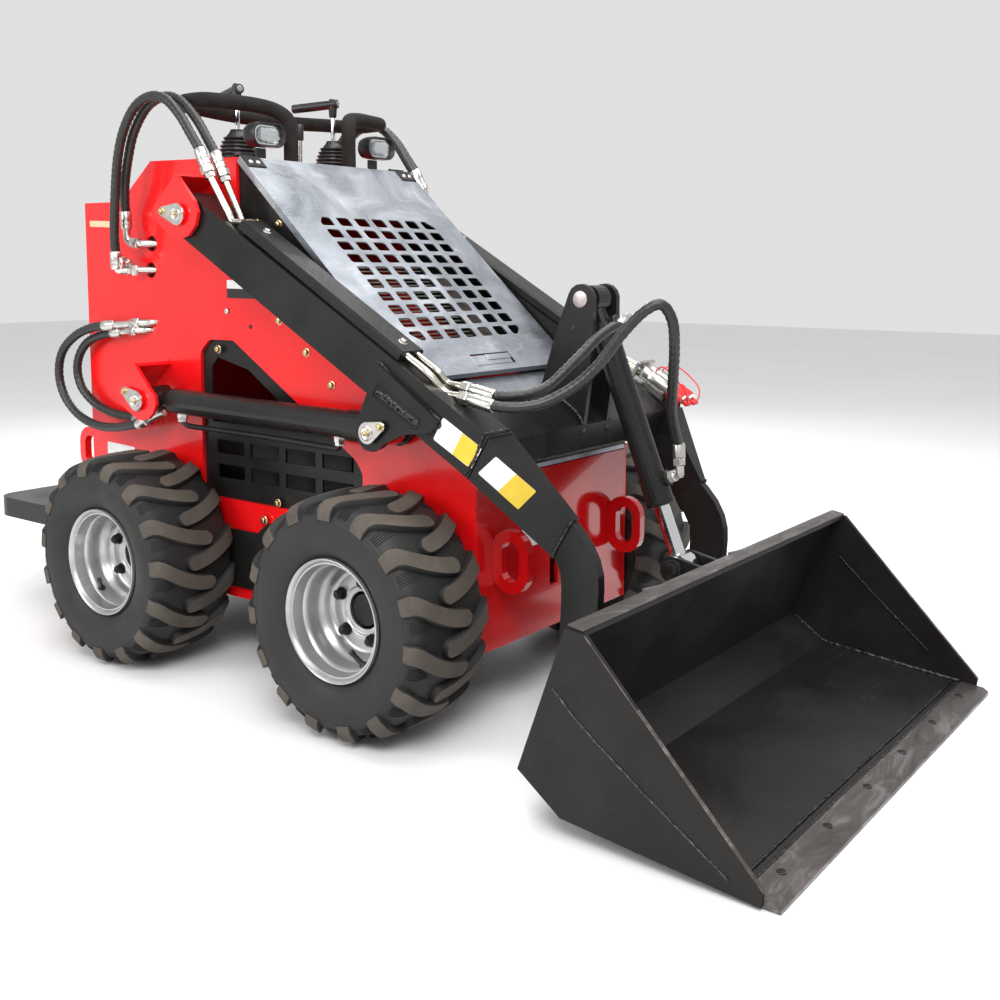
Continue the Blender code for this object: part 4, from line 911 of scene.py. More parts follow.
# red rail along the hood's top edge
block(kit("chassis", "red", "hood_top_rail", 30), W(0.005, 0.4775, 1.0840), (1, 0, 0), (0, 1, 0), (0, 0, 1), 0.2050, 0.0038, 0.0030, 0.0010)


# =============================================================== arms: cover, pipes, welds, keepers
def arm_low(y):
    return 0.492 + 0.57 * (y + 0.217)


def arm_top(y):
    return arm_low(y) + 0.102


AV = Vector((0, -1, -0.57)).normalized()
AN = Vector((0, -0.57, 1)).normalized()


def on_arm(x, y, h):
    p = W(x, y, arm_top(y))
    return p + AN * h


def keeper(body, x, s, pin, bolt, r=0.021):
    """Teardrop keeper plate of a pivot pin, with the pin's end and its small bolt."""
    P, B = Vector(pin), Vector(bolt)
    d = (B - P)
    L = d.length
    a0 = math.atan2(d.y, d.x)
    pts = []
    for k in range(13):
        t = a0 + math.radians(75) + math.radians(210) * k / 12
        pts.append((P.x + r * math.cos(t), P.y + r * math.sin(t)))
    for k in range(7):
        t = a0 - math.radians(80) + math.radians(160) * k / 6
        pts.append((B.x + r * 0.46 * math.cos(t), B.y + r * 0.46 * math.sin(t)))
    prism(kit(body, "zinc", "keeper_plates_" + body, 40), pts, W(x, 0, 0), 0.004, (0, 1, 0), (0, 0, 1), (s, 0, 0), 0.0008)
    turned(kit(body, "zinc", "keeper_plates_" + body, 40), W(x + s * 0.004, P.x, P.y), (s, 0, 0), [(0, 0.0140), (0.0020, 0.0138), (0.0030, 0.0120), (0.0016, 0.0100), (0.0018, 0.0)], 24)
    turned(kit(body, "gold", "grease_nipples_" + body, 40), W(x + s * 0.005, P.x, P.y), (s, 0, 0), [(0, 0.0050), (0.003, 0.0048), (0.004, 0.0030), (0.007, 0.0034), (0.009, 0.0018)], 12)
    hexnut(kit(body, "gold", "keeper_bolts_" + body, 40), W(x + s * 0.004, B.x, B.y), (s, 0, 0), 0.0062, 0.006)


def arms():
    for tag, s in SIDES:
        steel = kit("lift_arms", "pipe", "arm_pipes", 40)
        zinc = kit("lift_arms", "zinc", "arm_pipe_nuts", 30)
        # cover over the pipes, with folded sides and its screws
        cov = bmesh.new()
        y0, y1 = 0.378, -0.047
        prof = [(-0.0315, 0.0005), (-0.0315, 0.0150), (-0.0270, 0.0195), (0.0270, 0.0195), (0.0315, 0.0150), (0.0315, 0.0005)]
        rows = []
        for y in (y0, y0 - 0.02, y1 + 0.02, y1):
            g = 0.0 if y not in (y0, y1) else 0.0
            rows.append([cov.verts.new(on_arm(s * 0.3110 + px_, y, h)) for px_, h in prof])
        skin(cov, rows)
        cv = make("folded_pipe_cover_" + tag, cov, M["black"], "lift_arms", 30)
        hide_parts("pipe_cover_" + tag)
        for y in (0.338, -0.022):
            hexnut(kit("lift_arms", "zinc", "cover_screws", 40), on_arm(s * 0.311, y, 0.0195), AN, 0.0068, 0.0060)
        # steel pipes: up from the cover's rear end to the hose crimps
        for x0, x1, ye, ze, yn, zn, yh, zh in ((0.327, 0.335, 0.412, 0.9360, 0.472, 1.045, 0.501, 1.097), (0.300, 0.308, 0.410, 0.9350, 0.457, 1.038, 0.484, 1.089)):
            P, _ = route([on_arm(s * x0, 0.345, 0.010), on_arm(s * x0, 0.385, 0.010), W(s * x0, ye, ze + 0.012), W(s * (x0 + 0.002), ye + 0.012, ze + 0.032), W(s * x1, yn, zn)], step=0.006, per=10)
            tube(steel, P, 0.0072, 12)
            d = (W(s * x1, yh, zh) - W(s * x1, yn, zn)).normalized()
            q = W(s * x1, yn, zn)
            turned(zinc, q - d * 0.010, d, [(0, 0.0100), (0.001, 0.0112), (0.010, 0.0112), (0.011, 0.0100)], 6)
            turned(zinc, q + d * 0.0015, d, [(0, 0.0126), (0.0015, 0.0140), (0.016, 0.0140), (0.018, 0.0126)], 6, 0.3)
            turned(zinc, q + d * 0.0190, d, [(0, 0.0100), (0.002, 0.0122), (0.012, 0.0126), (0.013, 0.0118), (0.015, 0.0126), (0.036, 0.0126), (0.040, 0.0110)], 18)
        # pipes out of the front of the cover
        ends = (((-0.310, -0.2380, 0.6200), (-0.310, -0.166, 0.6310)), ((-0.284, -0.2230, 0.634), (-0.284, -0.150, 0.6450))) if s < 0 else \
            (((0.327, -0.150, 0.664), (0.327, -0.1315, 0.674)), ((0.296, -0.150, 0.664), (0.296, -0.1315, 0.674)))
        for (he, pe), x in zip(ends, (0.325, 0.296)):
            if s < 0:
                P, _ = route([on_arm(s * x, -0.030, 0.010), on_arm(s * x, -0.060, 0.010), on_arm(s * x, -0.098, 0.010), W(*pe) + (W(*pe) - W(*he)).normalized() * 0.034, W(*pe)], step=0.006, per=10)
                tube(steel, P, 0.0072, 12)
                d = (W(*he) - W(*pe)).normalized()
                q = W(*pe)
                turned(zinc, q, d, [(0, 0.0110), (0.0015, 0.0125), (0.018, 0.0125), (0.0195, 0.0112)], 6)
                turned(zinc, q + d * 0.0200, d, [(0, 0.0095), (0.004, 0.0105), (0.010, 0.0105), (0.012, 0.0120), (0.052, 0.0120), (0.056, 0.0105)], 18)
            else:
                P, _ = route([on_arm(s * x, -0.030, 0.010), on_arm(s * x, -0.100, 0.010), on_arm(s * x, -0.150, 0.014), on_arm(s * x, -0.182, 0.021)], step=0.006, per=10)
                tube(steel, P, 0.0072, 12)
        # weld beads on the arm
        wd = kit("lift_arms", "weld", "arm_weld_beads", 60)
        X = s * 0.3485
        fy, fz = 0.028, 0.553
        br = [(-0.153, 0.592), (-0.150, 0.580), (-0.125, 0.566)]
        weld(wd, [W(X + s * 0.001, -0.012, arm_top(-0.012) - 0.026), W(X + s * 0.001, -0.080, 0.632), W(X + s * 0.001, -0.153, 0.592)], 0.0036)
        weld(wd, [W(X + s * 0.001, -0.012, 0.687), W(X + s * 0.001, 0.012, 0.638), W(X + s * 0.001, 0.034, 0.594)], 0.0034)
        weld(wd, [W(X + s * 0.001, -0.153, 0.592), W(X + s * 0.001, -0.150, 0.580), W(X + s * 0.001, -0.125, 0.566)], 0.0030)
        # bend seam at the front
        weld(wd, [W(s * 0.3485, -0.205, arm_low(-0.205)), W(s * 0.3487, -0.228, 0.528), W(s * 0.3485, -0.250, arm_top(-0.250))], 0.0034)
        weld(wd, [W(s * 0.3480, -0.250, arm_top(-0.250)), W(s * 0.312, -0.2502, arm_top(-0.250)), W(s * 0.276, -0.250, arm_top(-0.250))], 0.0034)
        # seam between the front section and the curved plate
        weld(wd, [W(s * 0.2505, -0.368, 0.424), W(s * 0.2505, -0.346, 0.388), W(s * 0.2505, -0.325, 0.352)], 0.0036)
        # welded slot in the bracket
        sl = kit("lift_arms", "weld", "arm_slot_fill", 60)
        a, b = Vector((-0.012, 0.632)), Vector((-0.100, 0.585))
        for k in range(26):
            t = k / 25
            p = a.lerp(b, t)
            turned(sl, W(s * 0.3570, p.x + random.uniform(-0.002, 0.002), p.y + random.uniform(-0.002, 0.002)), (s, 0, 0),
                   [(0, 0.0075), (0.0018, 0.0068), (0.0030, 0.0035)], 8)
        ring = []
        dd = (b - a).normalized()
        nn = Vector((-dd.y, dd.x))
        for k in range(9):
            q = math.pi * k / 8
            ring.append(b + (dd * math.sin(q) + nn * math.cos(q)) * 0.0115)
        for k in range(9):
            q = math.pi * k / 8
            ring.append(a + (-dd * math.sin(q) - nn * math.cos(q)) * 0.0115)
        tube_pts = [W(s * 0.3583, p.x, p.y) for p in ring + [ring[0]]]
        P, _ = route(tube_pts, step=0.004, per=6)
        tube(kit("lift_arms", "black", "arm_slot_rim", 50), P, 0.0018, 6)
        # keepers
        keeper("chassis", s * 0.3670, s, (0.537, 0.964), (0.582, 0.9705), 0.0225)
        keeper("chassis", s * 0.3670, s, (0.695, 0.566), (0.7310, 0.5840), 0.0225)
        keeper("lift_arms", s * 0.3640, s, (0.008, 0.556), (-0.0255, 0.5705), 0.0210)
        # lift cylinder: gland ring, ports and hard pipe below
        L = Vector((0, 0.008 - 0.695, 0.556 - 0.566)).normalized()
        p0 = W(s * 0.310, 0.695, 0.566)
        gl = kit("lift_barrel_" + tag, "black", "lift_gland_" + tag, 40)
        e = 0.6871 - 0.050
        turned(gl, p0 + L * (e - 0.002), L, [(0, 0.0300), (0.001, 0.0312), (0.008, 0.0312), (0.009, 0.0295), (0.010, 0.0200)], 28)
        pp = kit("lift_barrel_" + tag, "zinc", "lift_ports_" + tag, 40)
        for a_ in (0.085, e - 0.075):
            q = p0 + L * a_ + Vector((0, 0, -0.025))
            turned(pp, q, (0, 0, -1), [(0, 0.0115), (0.010, 0.0115), (0.012, 0.0100), (0.018, 0.0100)], 6)
        P, _ = route([p0 + L * 0.085 + Vector((0, 0, -0.043)), p0 + L * 0.100 + Vector((0, 0, -0.050)), p0 + L * 0.14 + Vector((0, 0, -0.051)),
                      p0 + L * 0.36 + Vector((0, 0, -0.049)), p0 + L * (e - 0.11) + Vector((0, 0, -0.050)), p0 + L * (e - 0.082) + Vector((0, 0, -0.049)), p0 + L * (e - 0.075) + Vector((0, 0, -0.040))], step=0.007, per=10)
        tube(kit("lift_barrel_" + tag, "black", "lift_hard_pipe_" + tag, 50), P, 0.0058, 10)
        # couplings of the two lower hoses at the barrel's rear
        for hp, x in (((0.309, 0.765, 0.503), 0.309), ((0.280, 0.815, 0.510), 0.280)):
            q = W(s * hp[0], hp[1], hp[2])
            tgt = p0 + L * (0.02 if x > 0.3 else 0.0) + Vector((s * (x - 0.310) * 0.6, 0, -0.030))
            d = (tgt - q).normalized()
            turned(pp, q - d * 0.006, d, [(0, 0.0112), (0.002, 0.0126), (0.030, 0.0126), (0.033, 0.0105)], 18)
            turned(pp, q + d * 0.027, d, [(0, 0.0120), (0.0015, 0.0132), (0.013, 0.0132), (0.0145, 0.0120)], 6)
            bar(pp, q + d * 0.035, tgt, 0.0080, 12)


arms()


# =============================================================== tilt cylinder, its bracket and ports
def tilt():
    U, Lp = Vector((0, -0.247, 0.800)), Vector((0, -0.449, 0.304))
    d = (Lp - U).normalized()
    p = W(*U)
    front = Vector((0, d.z, -d.y))                # towards the bucket, square to the barrel
    if front.y > 0:
        front = -front
    e = (Lp - U).length - 0.125
    g = kit("tilt_barrel", "black", "tilt_gland", 40)
    turned(g, p + d * (e - 0.006), d, [(0, 0.0262), (0.0015, 0.0278), (0.010, 0.0278), (0.012, 0.0262), (0.013, 0.0175)], 28)
    z = kit("tilt_barrel", "zinc", "tilt_ports", 30)
    for a, x, hp in ((0.060, 1, (-0.048, -0.335, 0.752)), (e - 0.040, 1, (0.003, -0.436, 0.534))):
        q = p + d * a + front * 0.022
        turned(kit("tilt_barrel", "black", "tilt_port_blocks", 40), q, front, [(0, 0.0150), (0.012, 0.0150), (0.014, 0.0130)], 18)
        t = q + front * 0.014
        turned(z, t, front, [(0, 0.0110), (0.0012, 0.0124), (0.012, 0.0124), (0.013, 0.0112)], 6)
        h = W(*hp)
        c = t + front * 0.022
        bar(z, t + front * 0.010, c + front * 0.004, 0.0085, 14)
        v = (h - c).normalized()
        bar(z, c - v * 0.004, h - v * 0.030, 0.0085, 14)
        turned(z, h - v * 0.040, v, [(0, 0.0112), (0.0015, 0.0126), (0.012, 0.0126), (0.0135, 0.0110)], 6)
        turned(z, h - v * 0.027, v, [(0, 0.0100), (0.003, 0.0118), (0.026, 0.0120), (0.030, 0.0106)], 18)
    # pin faces on the bracket
    for s in (-1, 1):
        turned(kit("lift_arms", "pinface", "tilt_pin_faces", 40), W(s * 0.0480, -0.247, 0.800), (s, 0, 0), [(0, 0.0160), (0.0022, 0.0158), (0.0030, 0.0140), (0.0024, 0.0)], 24)
        wd = kit("lift_arms", "weld", "bracket_weld_beads", 60)
        weld(wd, [W(s * 0.049, -0.144, 0.601), W(s * 0.049, -0.190, 0.612), W(s * 0.049, -0.240, 0.585), W(s * 0.049, -0.258, 0.560)], 0.0036)
        # small hole in the bracket drawn as a black disc: painted shade
        turned(kit("lift_arms", "labelblack", "bracket_small_hole", 40), W(s * 0.0481, -0.232, 0.745), (s, 0, 0), [(0, 0.0050), (0.0006, 0.0048), (0.0007, 0.0)], 14)
        # black washers and pin head at the lower eye
        turned(kit("bucket", "black", "tilt_low_washers", 40), W(s * 0.0372, -0.449, 0.304), (s, 0, 0), [(0, 0.0215), (0.003, 0.0215), (0.004, 0.0200), (0.0045, 0.0150), (0.0075, 0.0150), (0.0085, 0.0135)], 26)
        # quick-attach wedge handles, flat bars behind the lip
        q = kit("bucket", "coupler", "quick_attach_handles", 40)
        block(q, W(s * 0.165, -0.490, 0.300), (1, -0.25, 0), (0, 0, 1), (0.25, 1, 0), 0.034, 0.0100, 0.0030, 0.001)
        bar(q, W(s * 0.190, -0.487, 0.230), W(s * 0.190, -0.487, 0.298), 0.0070, 12)
        weld(kit("bucket", "weld", "qa_weld_beads", 60), [W(s * 0.2070, -0.4650, 0.205), W(s * 0.2070, -0.4380, 0.130)], 0.0034)
    # second welds across the cross member's corner
    weld(kit("lift_arms", "weld", "bracket_weld_beads", 60), [W(-0.268, -0.240, 0.512), W(-0.15, -0.2425, 0.508), W(0.0, -0.2425, 0.508), W(0.15, -0.2425, 0.508), W(0.268, -0.240, 0.512)], 0.0026)


tilt()

# =============================================================== bucket details
A_, B_, C_, D_ = (-0.883, 0.0015), (-0.530, 0.0350), (-0.450, 0.0920), (-0.538, 0.3350)


def bucket():
    wd = kit("bucket", "weld", "bucket_weld_beads", 60)
    # floor and back against both sides, from inside
    for s in (-1, 1):
        X = s * 0.5130
        weld(wd, [W(X, -0.826, 0.0155), W(X, -0.700, 0.0265), W(X, -0.560, 0.0400), W(X, -0.535, 0.0430)], 0.0046, 0.0040)
        weld(wd, [W(X, -0.533, 0.0430), W(X, -0.470, 0.0870), W(X, -0.459, 0.0975), W(X, -0.500, 0.210), W(X, -0.543, 0.325)], 0.0030)
        # line of weld outside, where the side plate is stiffened
        weld(wd, [W(s * 0.5212, -0.514, 0.235), W(s * 0.5212, -0.575, 0.183), W(s * 0.5212, -0.694, 0.102), W(s * 0.5212, -0.810, 0.028)], 0.0022, 0.004)
        weld(wd, [W(s * 0.5122, -0.560, 0.240), W(s * 0.5122, -0.640, 0.168), W(s * 0.5122, -0.760, 0.066)], 0.0014, 0.004)
        # bare, scuffed edge of the side plate
        e = kit("bucket", "worn", "bucket_side_edges", 30)
        P = [W(s * 0.5175, -0.569, 0.3265), W(s * 0.5175, -0.8605, 0.0262)]
        d = (P[1] - P[0]).normalized()
        nrm = Vector((0, -d.z, d.y))
        if nrm.z < 0:
            nrm = -nrm
        block(e, (P[0] + P[1]) / 2 + nrm * 0.0004, (1, 0, 0), d, nrm, 0.0036, (P[1] - P[0]).length / 2, 0.0009, 0.0004)
    # flat bar of the lip, a little proud so its scuffs show
    lip = kit("bucket", "worn", "bucket_lip_bar", 30)
    c = W(0, (-0.538 - 0.566) / 2, 0.33455)
    block(lip, c, (1, 0, 0), Vector((0, -0.028, -0.0045)), Vector((0, -0.0045, 0.028)), 0.5175, 0.0142, 0.0012, 0.0005)
    # double bead behind the cutting edge, and its holes with their worn rims
    for y, z in ((-0.812, 0.0172), (-0.827, 0.0172)):
        weld(wd, [W(-0.508, y, z), W(-0.2, y + 0.001, z), W(0.2, y - 0.001, z), W(0.508, y, z)], 0.0021, 0.0045)
    for k in range(6):
        x = -0.43 + 0.172 * k
        # the bolt holes are black discs of painted shade; their rims are worn metal
        hole = kit("bucket", "labelblack", "edge_bolt_holes", 40)
        turned(hole, W(x, -0.846, 0.0156), (0, 0.081, 1), [(0, 0.0068), (0.0006, 0.0066), (0.0007, 0.0)], 16)
        turned(kit("bucket", "worn", "edge_hole_rims", 40), W(x, -0.846, 0.0152), (0, 0.081, 1), [(0, 0.0086), (0.0005, 0.0084), (0.0006, 0.0070)], 18)


bucket()


# =============================================================== chassis details
def fitting(body, name, pts, r=0.0082):
    """An elbow: a bent steel tube."""
    P, _ = route(pts, step=0.004, per=10)
    tube(kit(body, "zinc", name, 40), P, r, 14)


def chassis():
    bolts = kit("chassis", "gold", "side_bolts", 40)
    for tag, s in SIDES:
        for y, z in ((0.346, 0.748), (0.268, 0.686), (0.198, 0.624), (0.540, 0.680), (0.130, 0.415), (0.240, 0.365), (0.360, 0.365)):
            hexnut(bolts, W(s * (0.2661 if y > 0.13 else 0.2661), y, z), (s, 0, 0), 0.0072, 0.0062)
        hexnut(kit("chassis", "zinc", "side_bolts_silver", 40), W(s * 0.2661, 0.506, 0.763), (s, 0, 0), 0.0066, 0.0052, washer=False)
        # small hole in the side plate drawn as a black disc: painted shade
        turned(kit("chassis", "labelblack", "side_small_holes", 40), W(s * 0.2659, 0.435, 0.732), (s, 0, 0), [(0, 0.0050), (0.0006, 0.0048), (0.0007, 0.0)], 14)
        hexnut(kit("chassis", "gold", "cover_bolts", 40), W(s * 0.2722, 0.396, 0.325), (s, 0, 0), 0.0072, 0.0070)
        turned(kit("chassis", "black", "chain_covers", 40), W(s * 0.2722, 0.3445, 0.2285), (s, 0, 0), [(0, 0.0960), (0.004, 0.0955), (0.006, 0.0925), (0.0066, 0.0700), (0.0086, 0.0680), (0.0090, 0.0420), (0.0075, 0.0400), (0.0078, 0.0)], 48)
        # bolts on the black panels beside the hood
        for y, z in ((0.418, 0.947), (0.352, 0.944)):
            hexnut(kit("chassis", "gold", "panel_bolts", 40), W(s * 0.2578, y, z), (s, 0, 0), 0.0070, 0.0060)
        # hydraulic fittings: two elbows through the side plate's holes
        z_ = kit("chassis", "zinc", "bulkhead_fittings", 40)
        for hole, end, up in (((0.7600, 0.9070), (0.294, 0.8120, 0.975), 0.910), ((0.7650, 0.8480), (0.322, 0.8150, 0.885), 0.845)):
            h = W(s * 0.262, hole[0], hole[1])
            q = W(s * (0.281), hole[0] + 0.016, hole[1])
            corner = W(s * end[0], end[1] - 0.002, up)
            v = (corner - q).normalized()
            # black disc behind the hole: painted shade of the space inside the side plate
            turned(kit("chassis", "labelblack", "bulkhead_hole_insides", 40), W(s * 0.2570, hole[0], hole[1]), (-s, 0, 0), [(0, 0.024), (0.002, 0.024), (0.003, 0.022)], 20)
            P, _ = route([W(s * 0.250, hole[0] - 0.010, hole[1]), h, q, q + v * 0.012], step=0.004, per=8)
            tube(z_, P, 0.0080, 14)
            turned(z_, q + v * 0.006, v, [(0, 0.0112), (0.0014, 0.0126), (0.013, 0.0126), (0.0145, 0.0112)], 6)
            turned(z_, q + v * 0.021, v, [(0, 0.0100), (0.0012, 0.0112), (0.008, 0.0112), (0.009, 0.0100)], 6, 0.4)
            e = W(s * end[0], end[1], end[2])
            P, _ = route([q + v * 0.026, corner - v * 0.016, corner + (e - corner).normalized() * 0.003 + v * -0.004, corner + (e - corner).normalized() * 0.018, e - (e - corner).normalized() * 0.030], step=0.004, per=8)
            tube(z_, P, 0.0082, 14)
            w = (e - corner).normalized()
            turned(z_, e - w * 0.036, w, [(0, 0.0098), (0.003, 0.0122), (0.012, 0.0126), (0.013, 0.0118), (0.015, 0.0126), (0.037, 0.0126), (0.040, 0.0108)], 18)
        # tee with a test port beside the lower elbow
        t = W(s * 0.300, 0.815, 0.865)
        turned(z_, t + Vector((0, 0.022, 0.010)), (0, -1, -0.35), [(0, 0.0098), (0.002, 0.0112), (0.044, 0.0112), (0.046, 0.0098)], 16)
        turned(kit("chassis", "zinc", "test_port_faces", 40), t + Vector((s * 0.000, -0.006, -0.002)), (s, 0, 0), [(0, 0.0130), (0.014, 0.0130), (0.016, 0.0150), (0.020, 0.0150), (0.0215, 0.0120), (0.0190, 0.0085), (0.0190, 0.0)], 18)
        # pair of straight couplings of the lower hoses
        for end, zb, yb in (((0.300, 0.8980, 0.7195), 0.7300, 0.7560), ((0.284, 0.890, 0.703), 0.7130, 0.7700)):
            e = W(s * end[0], end[1], end[2])
            b = W(s * 0.262, yb, zb)
            k1 = W(s * 0.283, yb + 0.030, zb - 0.001)
            d2 = (e - k1).normalized()
            P, _ = route([b, W(s * 0.274, yb + 0.008, zb), k1, k1 + d2 * 0.02], step=0.004, per=8)
            tube(z_, P, 0.0082, 14)
            turned(z_, k1 + d2 * 0.000, d2, [(0, 0.0110), (0.0014, 0.0126), (0.014, 0.0126), (0.0155, 0.0112)], 6)
            turned(z_, k1 + d2 * 0.018, d2, [(0, 0.0100), (0.0014, 0.0116), (0.012, 0.0116), (0.0135, 0.0100)], 6, 0.5)
            bar(z_, k1 + d2 * 0.028, e - d2 * 0.030, 0.0080, 14)
            turned(z_, e - d2 * 0.034, d2, [(0, 0.0098), (0.003, 0.0122), (0.012, 0.0126), (0.013, 0.0118), (0.015, 0.0126), (0.035, 0.0126), (0.038, 0.0108)], 18)
        # blank labels
        sticker("chassis", "white", [W(s * 0.2661, 0.506, 0.829), W(s * 0.2661, 0.420, 0.829), W(s * 0.2661, 0.420, 0.811), W(s * 0.2661, 0.506, 0.811)], (s, 0, 0), r=0.001, name="side_label_light")
        sticker("chassis", "labelblack", [W(s * 0.2661, 0.506, 0.8105), W(s * 0.2661, 0.420, 0.8105), W(s * 0.2661, 0.420, 0.791), W(s * 0.2661, 0.506, 0.791)], (s, 0, 0), r=0.001, name="side_label_dark")
        sticker("chassis", "cream", [W(s * 0.2661, 0.990, 0.962), W(s * 0.2661, 0.900, 0.959), W(s * 0.2661, 0.900, 0.945), W(s * 0.2661, 0.990, 0.948)], (s, 0, 0), r=0.001, name="tower_label")
        sticker("lift_arms", "white", [W(s * 0.3481, -0.159, 0.5975), W(s * 0.3481, -0.2455, 0.5510), W(s * 0.3481, -0.222, 0.5120), W(s * 0.3481, -0.136, 0.5565)], (s, 0, 0), r=0.004, name="arm_label")
        sticker("lift_arms", "yellow", [W(s * 0.3488, -0.2035, 0.5735), W(s * 0.3488, -0.2440, 0.5515), W(s * 0.3488, -0.2215, 0.5140), W(s * 0.3488, -0.1800, 0.5345)], (s, 0, 0), r=0.003, name="arm_label_yellow")
        a4 = [Vector((-s * -0.3383, -0.2286, 0.5045)), Vector((-s * -0.3311, -0.2624, 0.5364)), Vector((-s * -0.2875, -0.3174, 0.4753)), Vector((-s * -0.2938, -0.2835, 0.4403))]
        n4 = (a4[1] - a4[0]).cross(a4[3] - a4[0]).normalized()
        if n4.x * s < 0:
            n4 = -n4
        mid = [a4[0].lerp(a4[3], 0.5), a4[1].lerp(a4[2], 0.5), a4[2], a4[3]]
        sticker("lift_arms", "white", [W(*v) for v in a4], n4, lift=0.0004, r=0.003, name="nose_label")
        sticker("lift_arms", "yellow", [W(*v) for v in mid], n4, lift=0.0011, r=0.002, name="nose_label_yellow")
        sticker("chassis", "white", [W(s * 0.2661, 0.9500, 0.4410), W(s * 0.2661, 0.8450, 0.4367), W(s * 0.2661, 0.8450, 0.3850), W(s * 0.2661, 0.9500, 0.3880)], (s, 0, 0), r=0.001, name="rear_side_label")
        # seam lines of the side plate's fold
        weld(kit("chassis", "red", "side_fold_bead", 60), [W(s * 0.2663, 0.552, 0.906), W(s * 0.2663, 0.520, 0.920), W(s * 0.2663, 0.508, 0.945)], 0.0026)
        for e0, e1 in (((0.628, 0.980), (0.548, 1.051)), ((0.780, 0.585), (0.708, 0.648))):
            weld(kit("chassis", "red", "ear_weld_beads", 60), [W(s * 0.2668, e0[0], e0[1]), W(s * 0.2668, e1[0], e1[1])], 0.0040)
    # front plate: blank label; deck: blank label
    sticker("chassis", "white", [W(-0.120, -0.1661, 0.372), W(-0.060, -0.1661, 0.372), W(-0.060, -0.1661, 0.318), W(-0.120, -0.1661, 0.318)], (0, -1, 0), r=0.003, name="front_label")
    dk = [(0.055, 0.6862), (0.0835, 0.6862), (0.0835, 0.7240), (0.055, 0.7240)]
    sticker("chassis", "white", [hood_at(x, s_, -0.0105) for x, s_ in dk], (0, -0.694, 0.72), lift=0.0020, r=0.001, name="deck_label")
    # deck: two small screws
    for x in (-0.21, 0.21):
        hexnut(kit("chassis", "zinc", "deck_screws", 40), W(x, -0.06, 0.5815), (0, -0.694, 0.72), 0.0065, 0.005)


chassis()


